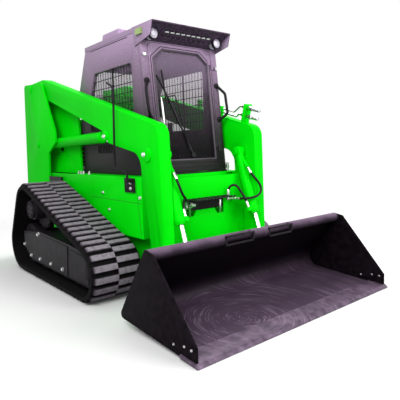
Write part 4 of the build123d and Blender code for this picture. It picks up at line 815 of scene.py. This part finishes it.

# %% [markdown]
# ## Fittings on the deck
#
# Pipes and cables leave the machine through turned fittings on its deck and covers. A dark plate in the
# opening behind the step is painted shade, and two bolts hold the stay rod's bracket.

# %% Step backing, stay bolts and fittings
pad_face = -cover_x - 0.010
# A dark plate behind the step, where there is an opening in shade: painted shade.
plate_low, plate_high = np.array((-0.205, -0.745, 0.664)), np.array((0.205, -0.738, 0.751))
piece("step_painted_shade", block(plate_low, plate_high), FRAME, "lift_arm", 0.001)
piece("stay_bolts", bolts([(pad_face, -0.500, 0.914), (pad_face, -0.500, 0.868)], (-1, 0, 0), 0.020), ZINC,
      "chassis")
fitting_x, cover_top_x = 0.421, 0.500
fitting = [(0, 0), (0.014, 0), (0.014, 0.030), (0.010, 0.034), (0.010, 0.046), (0.015, 0.049), (0.015, 0.078),
           (0.011, 0.082), (0.011, 0.098), (0, 0.098)]
deck_z, fitting_sunk = 0.956, 0.02
piece("deck_fittings", joined([
    placed(turned(fitting, 16), (sign * fitting_x, y, deck_z - fitting_sunk), (0, 0, 1))
    for side, sign in SIDES for y in (-0.585, -0.548)
]), ZINC, "chassis")
flange_z = float(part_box("side_covers")[1][2])
top_fitting = [(0, -0.004), (0.015, -0.004), (0.015, 0.014), (0.010, 0.017), (0.010, 0.030), (0, 0.032)]
piece("cover_top_fittings", joined([
    placed(turned(top_fitting, 6 if y > 0.5 else 16), (sign * cover_top_x, y, flange_z), (0, 0, 1))
    for side, sign in SIDES for y in (0.561, 0.505, 0.455, 0.335)
]), ZINC, "chassis")
print("fittings on deck and covers, flange at", round(flange_z, 3))

# %% [markdown]
# ## Cab trim
#
# The cab's looks come from thin things: rings round the lamps, a gutter line under the roof, louvres low on the
# side, a bar down each side window, pale plates in the visor's slots as painted daylight and the bent pane of
# the rear window.

# %% Lamp rings, gutter, louvres, visor slots and rear pane
lamp_x, lamp_y, lamp_z, lamp_sides = 0.332, -0.575, 2.077, 32
cab_x, gutter_z, louvre_z, louvre_wide = 0.400, 2.096, (1.150, 1.222), 0.012
ring = [(0.0424, -0.016), (0.050, -0.014), (0.050, 0.006), (0.046, 0.010), (0.0405, 0.008), (0.0405, 0.0)]
bulge = [(0.0405, 0.0), (0.034, 0.005), (0.020, 0.009), (0.008, 0.0105), (0.0, 0.0105)]
for side, sign in SIDES:
    place = (sign * lamp_x, lamp_y, lamp_z)
    for label, profile, slot in (("ring", ring, "black_plastic"), ("bulge", bulge, "lamp_lens")):
        shape = placed(turned(profile, lamp_sides), place, (0, -1, 0))
        piece(f"lamp_{label}_{side}", shape, FINISHES[slot], "chassis")
    face = sign * cab_x
    piece(f"gutter_{side}", bars([(face, 0.383, gutter_z), (face, -0.290, gutter_z)], 0.003), FRAME, "chassis")
    piece(f"louvres_{side}", joined([
        block((face - 0.002 * sign, y, louvre_z[0]), (face + 0.004 * sign, y + louvre_wide, louvre_z[1]))
        for y in np.linspace(0.045, 0.315, 10)
    ]), FRAME, "chassis")
    low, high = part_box("window_guards")
    piece(f"guard_bar_{side}", block((sign * 0.384, -0.010, low[2]), (sign * 0.397, 0.004, high[2])), PLASTIC,
          "chassis", 0.002)
slit_columns, slit_pitch, slit_up, slit_in = 9, 0.054, 0.031, 0.012
slit_half_wide, slit_half_high = 0.0185, 0.0072
visor_foot, visor_top = np.array((0, -0.479, 2.040)), np.array((0, -0.653, 2.140))
up_visor = (visor_top - visor_foot) / np.linalg.norm(visor_top - visor_foot)
off_visor = np.array((0, up_visor[2], -up_visor[1]))
slit_middle = (visor_foot + visor_top) / 2 + slit_up * up_visor
slit_middle = slit_middle - slit_in * off_visor * np.sign(off_visor[1])
corner_u, corner_v = np.array((slit_half_wide, 0, 0)), slit_half_high * up_visor
slits = []
for column in range(slit_columns):
    middle = slit_middle + np.array(((column - (slit_columns - 1) / 2) * slit_pitch, 0, 0))
    slits.append((np.array([middle + a * corner_u + b * corner_v for a, b in SQUARE]), [[0, 1, 2, 3]]))
pane_inset, pane_bend, pane_lean, pane_thick = 0.010, 1.780, 0.488, 0.005
pane_y = float(wall_high[1]) - pane_inset
pane_top_y = pane_y - (window_high[2] - pane_bend) * pane_lean
pane_line = np.array([(pane_y, window_low[2]), (pane_y, pane_bend), (pane_top_y, window_high[2])])
pane_profile = np.concatenate([pane_line, pane_line[::-1] - (pane_thick, 0)])
corners = len(pane_profile)
pane_points = np.concatenate([np.c_[np.full(corners, x), pane_profile] for x in (-window_half, window_half)])
piece("rear_pane", (pane_points, ring_faces(2, corners)), GLASS, "chassis", smooth=False)
# Pale plates as painted daylight in the visor's slots.
piece("visor_painted_daylight", joined(slits), PAINTED_DAYLIGHT, "chassis")
print("cab trim done")

# %% [markdown]
# ## Door trim
#
# The door leans back with the cab's front, so one function turns a place on its face into a point in space. A
# bead holds the glass, a pressed crease runs round it, and a link and a strut lie on it.

# %% Door trim
door_foot_y, door_lean = -0.588, 0.1026


def on_door(x, z, lift=0.0):
    """A point on the leaning front face of the door, lifted off it."""
    return (x, door_foot_y + (z - deck_z) * door_lean - lift, z)


pane = [(-0.189, 1.985), (0.189, 1.985), (0.288, 1.905), (0.288, 1.075), (-0.288, 1.075), (-0.288, 1.905)]
edge = [(-0.206, 2.006), (0.206, 2.006), (0.312, 1.920), (0.312, 1.050), (-0.312, 1.050), (-0.312, 1.920)]
# The bead is black rubber; its mauve grey here is a painted highlight.
BEAD_HIGHLIGHT = plain("door bead highlight", (0.060, 0.046, 0.062), (0.110, 0.086, 0.114), 0.4, bump=0.0, spec=0.2)
for label, outline, radius, material, slot in (
    ("bead", pane, 0.008, BEAD_HIGHLIGHT, "black_plastic"), ("crease", edge, 0.003, FRAME, "frame_black"),
):
    shape = bars([on_door(x, z) for x, z in outline], radius, closed=True)
    piece(f"door_{label}", shape, material, "cab_door")
piece("wiper_link", joined([
    bars([on_door(0.000, 1.150, 0.006), on_door(-0.106, 1.613, 0.006)], 0.005),
    bars([on_door(-0.106, 1.613, 0.006), on_door(-0.190, 1.600, 0.006)], 0.005),
    bars([on_door(-0.221, 1.814, 0.004), on_door(-0.195, 1.520, 0.004)], 0.007),
]), PLASTIC, "cab_door")
piece("door_strut", joined([
    bars([on_door(-0.248, 1.556, 0.004), on_door(-0.245, 1.408, 0.004)], 0.011, sides=14),
    bars([on_door(-0.249, 1.590, 0.004), on_door(-0.2445, 1.380, 0.004)], 0.006, sides=12),
]), ZINC, "cab_door")
piece("sill_line", bars([on_door(-0.300, 1.010), on_door(0.300, 1.010)], 0.002), FRAME, "cab_door")
knob = [(0, 0), (0.009, 0), (0.009, 0.014), (0.016, 0.016), (0.016, 0.026), (0.010, 0.030), (0, 0.030)]
piece("post_knobs", joined([
    placed(turned(knob, 18), on_door(x, z), (0, -1, -0.1)) for x, z in ((-0.381, 1.929), (0.374, 1.878))
]), ZINC, "chassis")
print("door trim done")

# %% [markdown]
# ## Fasteners on the arms, bucket and tail
#
# These ride on the moving bodies, so each names the body that carries it. Dark frames round the two pockets in
# the bucket's roll are four thin blocks each.

# %% Arms, bucket and tail
cheek_bolts = ((-1.604, 0.072), (-1.703, 0.090), (-1.767, 0.089))
for side, sign in SIDES:
    out = (sign, 0, 0)
    low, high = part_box(f"arm_{side}")
    face = float(high[0] if sign > 0 else low[0])
    piece(f"arm_pin_bolts_{side}", bolts([(face, -0.715, 1.134), (face, -0.109, 1.294)], out, 0.026), ZINC,
          "lift_arm")
    for label, x, way, across in (("bolts", 0.988, sign, 0.011), ("nuts", 0.972, -sign, 0.012)):
        shape = bolts([(sign * x, y, z) for y, z in cheek_bolts], (way, 0, 0), across)
        piece(f"cheek_{label}_{side}", shape, ZINC, "bucket")
frame_wide, frame_y, frame_z = 0.012, (-1.383, -1.372), (0.497, 0.566)
frames = []
for first, last in ((-0.360, -0.079), (0.079, 0.348)):
    for x_low, x_high, z_low, z_high in (
        (first, first + frame_wide, *frame_z), (last - frame_wide, last, *frame_z),
        (first, last, frame_z[0], frame_z[0] + frame_wide),
        (first, last, frame_z[1] - frame_wide, frame_z[1]),
    ):
        frames.append(block((x_low, frame_y[0], z_low), (x_high, frame_y[1], z_high)))
piece("pocket_frames", joined(frames), FRAME, "bucket", 0.001)
low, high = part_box("tail_door")
grille_half, grille_low, grille_high = 0.275, 0.955, 1.405
tail_y = float(high[1])
screen_y, screen_thick = tail_y - 0.030, 0.006
piece("tail_screen", block((-grille_half, screen_y - screen_thick, grille_low),
                           (grille_half, screen_y, grille_high)), PLASTIC, "tail_door", 0.001)
piece("tail_latch", block((-0.060, tail_y - 0.022, 0.640), (0.060, tail_y - 0.002, 0.700)), PLASTIC,
      "tail_door", 0.004)
print("arms, bucket and tail done, tail door ends at", round(tail_y, 3))

# %% [markdown]
# ## Studio
#
# A product picture has a white floor that runs into a white background. The floor keeps a soft shadow, which is
# what sets the machine down. For the camera it is white and fades out into the background some metres away. For
# light that bounces it is grey, so that the machine's underside stays dark.

# %% Floor
floor_near, floor_far, floor_half = 3.2, 5.5, 9
floor_white, floor_glow = 0.67, 0.03
floor_mesh = bpy.data.meshes.new("floor")
floor_mesh.from_pydata([(floor_half * a, floor_half * b, 0) for a, b in SQUARE], [], [[0, 1, 2, 3]])
floor = bpy.data.objects.new("floor", floor_mesh)
scene.collection.objects.link(floor)
FLOOR = plain("studio floor", (0.29, 0.29, 0.29), (0.31, 0.31, 0.31), 0.9, bump=0.0, spec=0.0)
floor_mesh.materials.append(FLOOR)
tree = FLOOR.node_tree
grey = tree.nodes["Principled BSDF"]
white = new_node(tree, "BsdfDiffuse", {"Color": (floor_white, floor_white, floor_white, 1)})
glow = new_node(tree, "Emission", {"Strength": floor_glow})
lit, clear = new_node(tree, "AddShader"), new_node(tree, "BsdfTransparent")
reach = new_node(tree, "VectorMath")
reach.operation = "LENGTH"
fade = new_node(tree, "MapRange", {"From Min": floor_near, "From Max": floor_far})
fade.interpolation_type = "SMOOTHSTEP"
near, seen = new_node(tree, "MixShader"), new_node(tree, "MixShader")


def seen_directly(tree):
    """1 for rays of the camera, of mirrors and through glass, 0 for the light that bounces."""
    ray, first, both = (new_node(tree, kind) for kind in ("LightPath", "Math", "Math"))
    first.operation = both.operation = "MAXIMUM"
    linked(
        tree, (ray.outputs["Is Camera Ray"], first.inputs[0]), (ray.outputs["Is Glossy Ray"], first.inputs[1]),
        (first.outputs["Value"], both.inputs[0]), (ray.outputs["Is Transmission Ray"], both.inputs[1]),
    )
    return both.outputs["Value"]


linked(
    tree, (white.outputs["BSDF"], lit.inputs[0]), (glow.outputs["Emission"], lit.inputs[1]),
    (tree.nodes["Texture Coordinate"].outputs["Object"], reach.inputs[0]),
    (reach.outputs["Value"], fade.inputs["Value"]), (fade.outputs["Result"], near.inputs["Fac"]),
    (lit.outputs["Shader"], near.inputs[1]), (clear.outputs["BSDF"], near.inputs[2]),
    (seen_directly(tree), seen.inputs["Fac"]), (grey.outputs["BSDF"], seen.inputs[1]),
    (near.outputs["Shader"], seen.inputs[2]),
    (seen.outputs["Shader"], tree.nodes["Material Output"].inputs["Surface"]),
)
print("floor fades out from", floor_near, "to", floor_far, "m")

# %% [markdown]
# ## Background and lights
#
# The background is white where it is seen and half as strong where it lights. Two broad lights stand in front,
# to the right and the left, a weak one hangs above, and a steep one behind throws the shadow to the camera.

# %% Background and lights
sky_strength, page_strength, light_aim = 0.5, 1.0, Vector((0, -0.3, 0.8))
world = bpy.data.worlds.new("studio")
scene.world = world
world.use_nodes = True
tree = world.node_tree
sky, page = tree.nodes["Background"], new_node(tree, "Background")
for backdrop, strength in ((sky, sky_strength), (page, page_strength)):
    backdrop.inputs["Color"].default_value = (1, 1, 1, 1)
    backdrop.inputs["Strength"].default_value = strength
choice = new_node(tree, "MixShader")
linked(
    tree, (seen_directly(tree), choice.inputs["Fac"]), (sky.outputs["Background"], choice.inputs[1]),
    (page.outputs["Background"], choice.inputs[2]),
    (choice.outputs["Shader"], tree.nodes["World Output"].inputs["Surface"]),
)

for name, place, size, power in (
    ("key light", (-4.5, -4.0, 5.0), 3.5, 400),
    ("front light", (2.0, -6.5, 3.6), 4.0, 300),
    ("top light", (0.0, 0.5, 6.5), 5.0, 110),
    ("rear light", (3.2, 2.4, 7.0), 3.0, 470),
):
    light = bpy.data.lights.new(name, "AREA")
    light.size = size
    light.energy = power
    lamp = bpy.data.objects.new(name, light)
    lamp.location = place
    lamp.rotation_euler = (light_aim - Vector(place)).to_track_quat("-Z", "Y").to_euler()
    scene.collection.objects.link(lamp)
scene.view_settings.view_transform = "Standard"
print("studio ready")
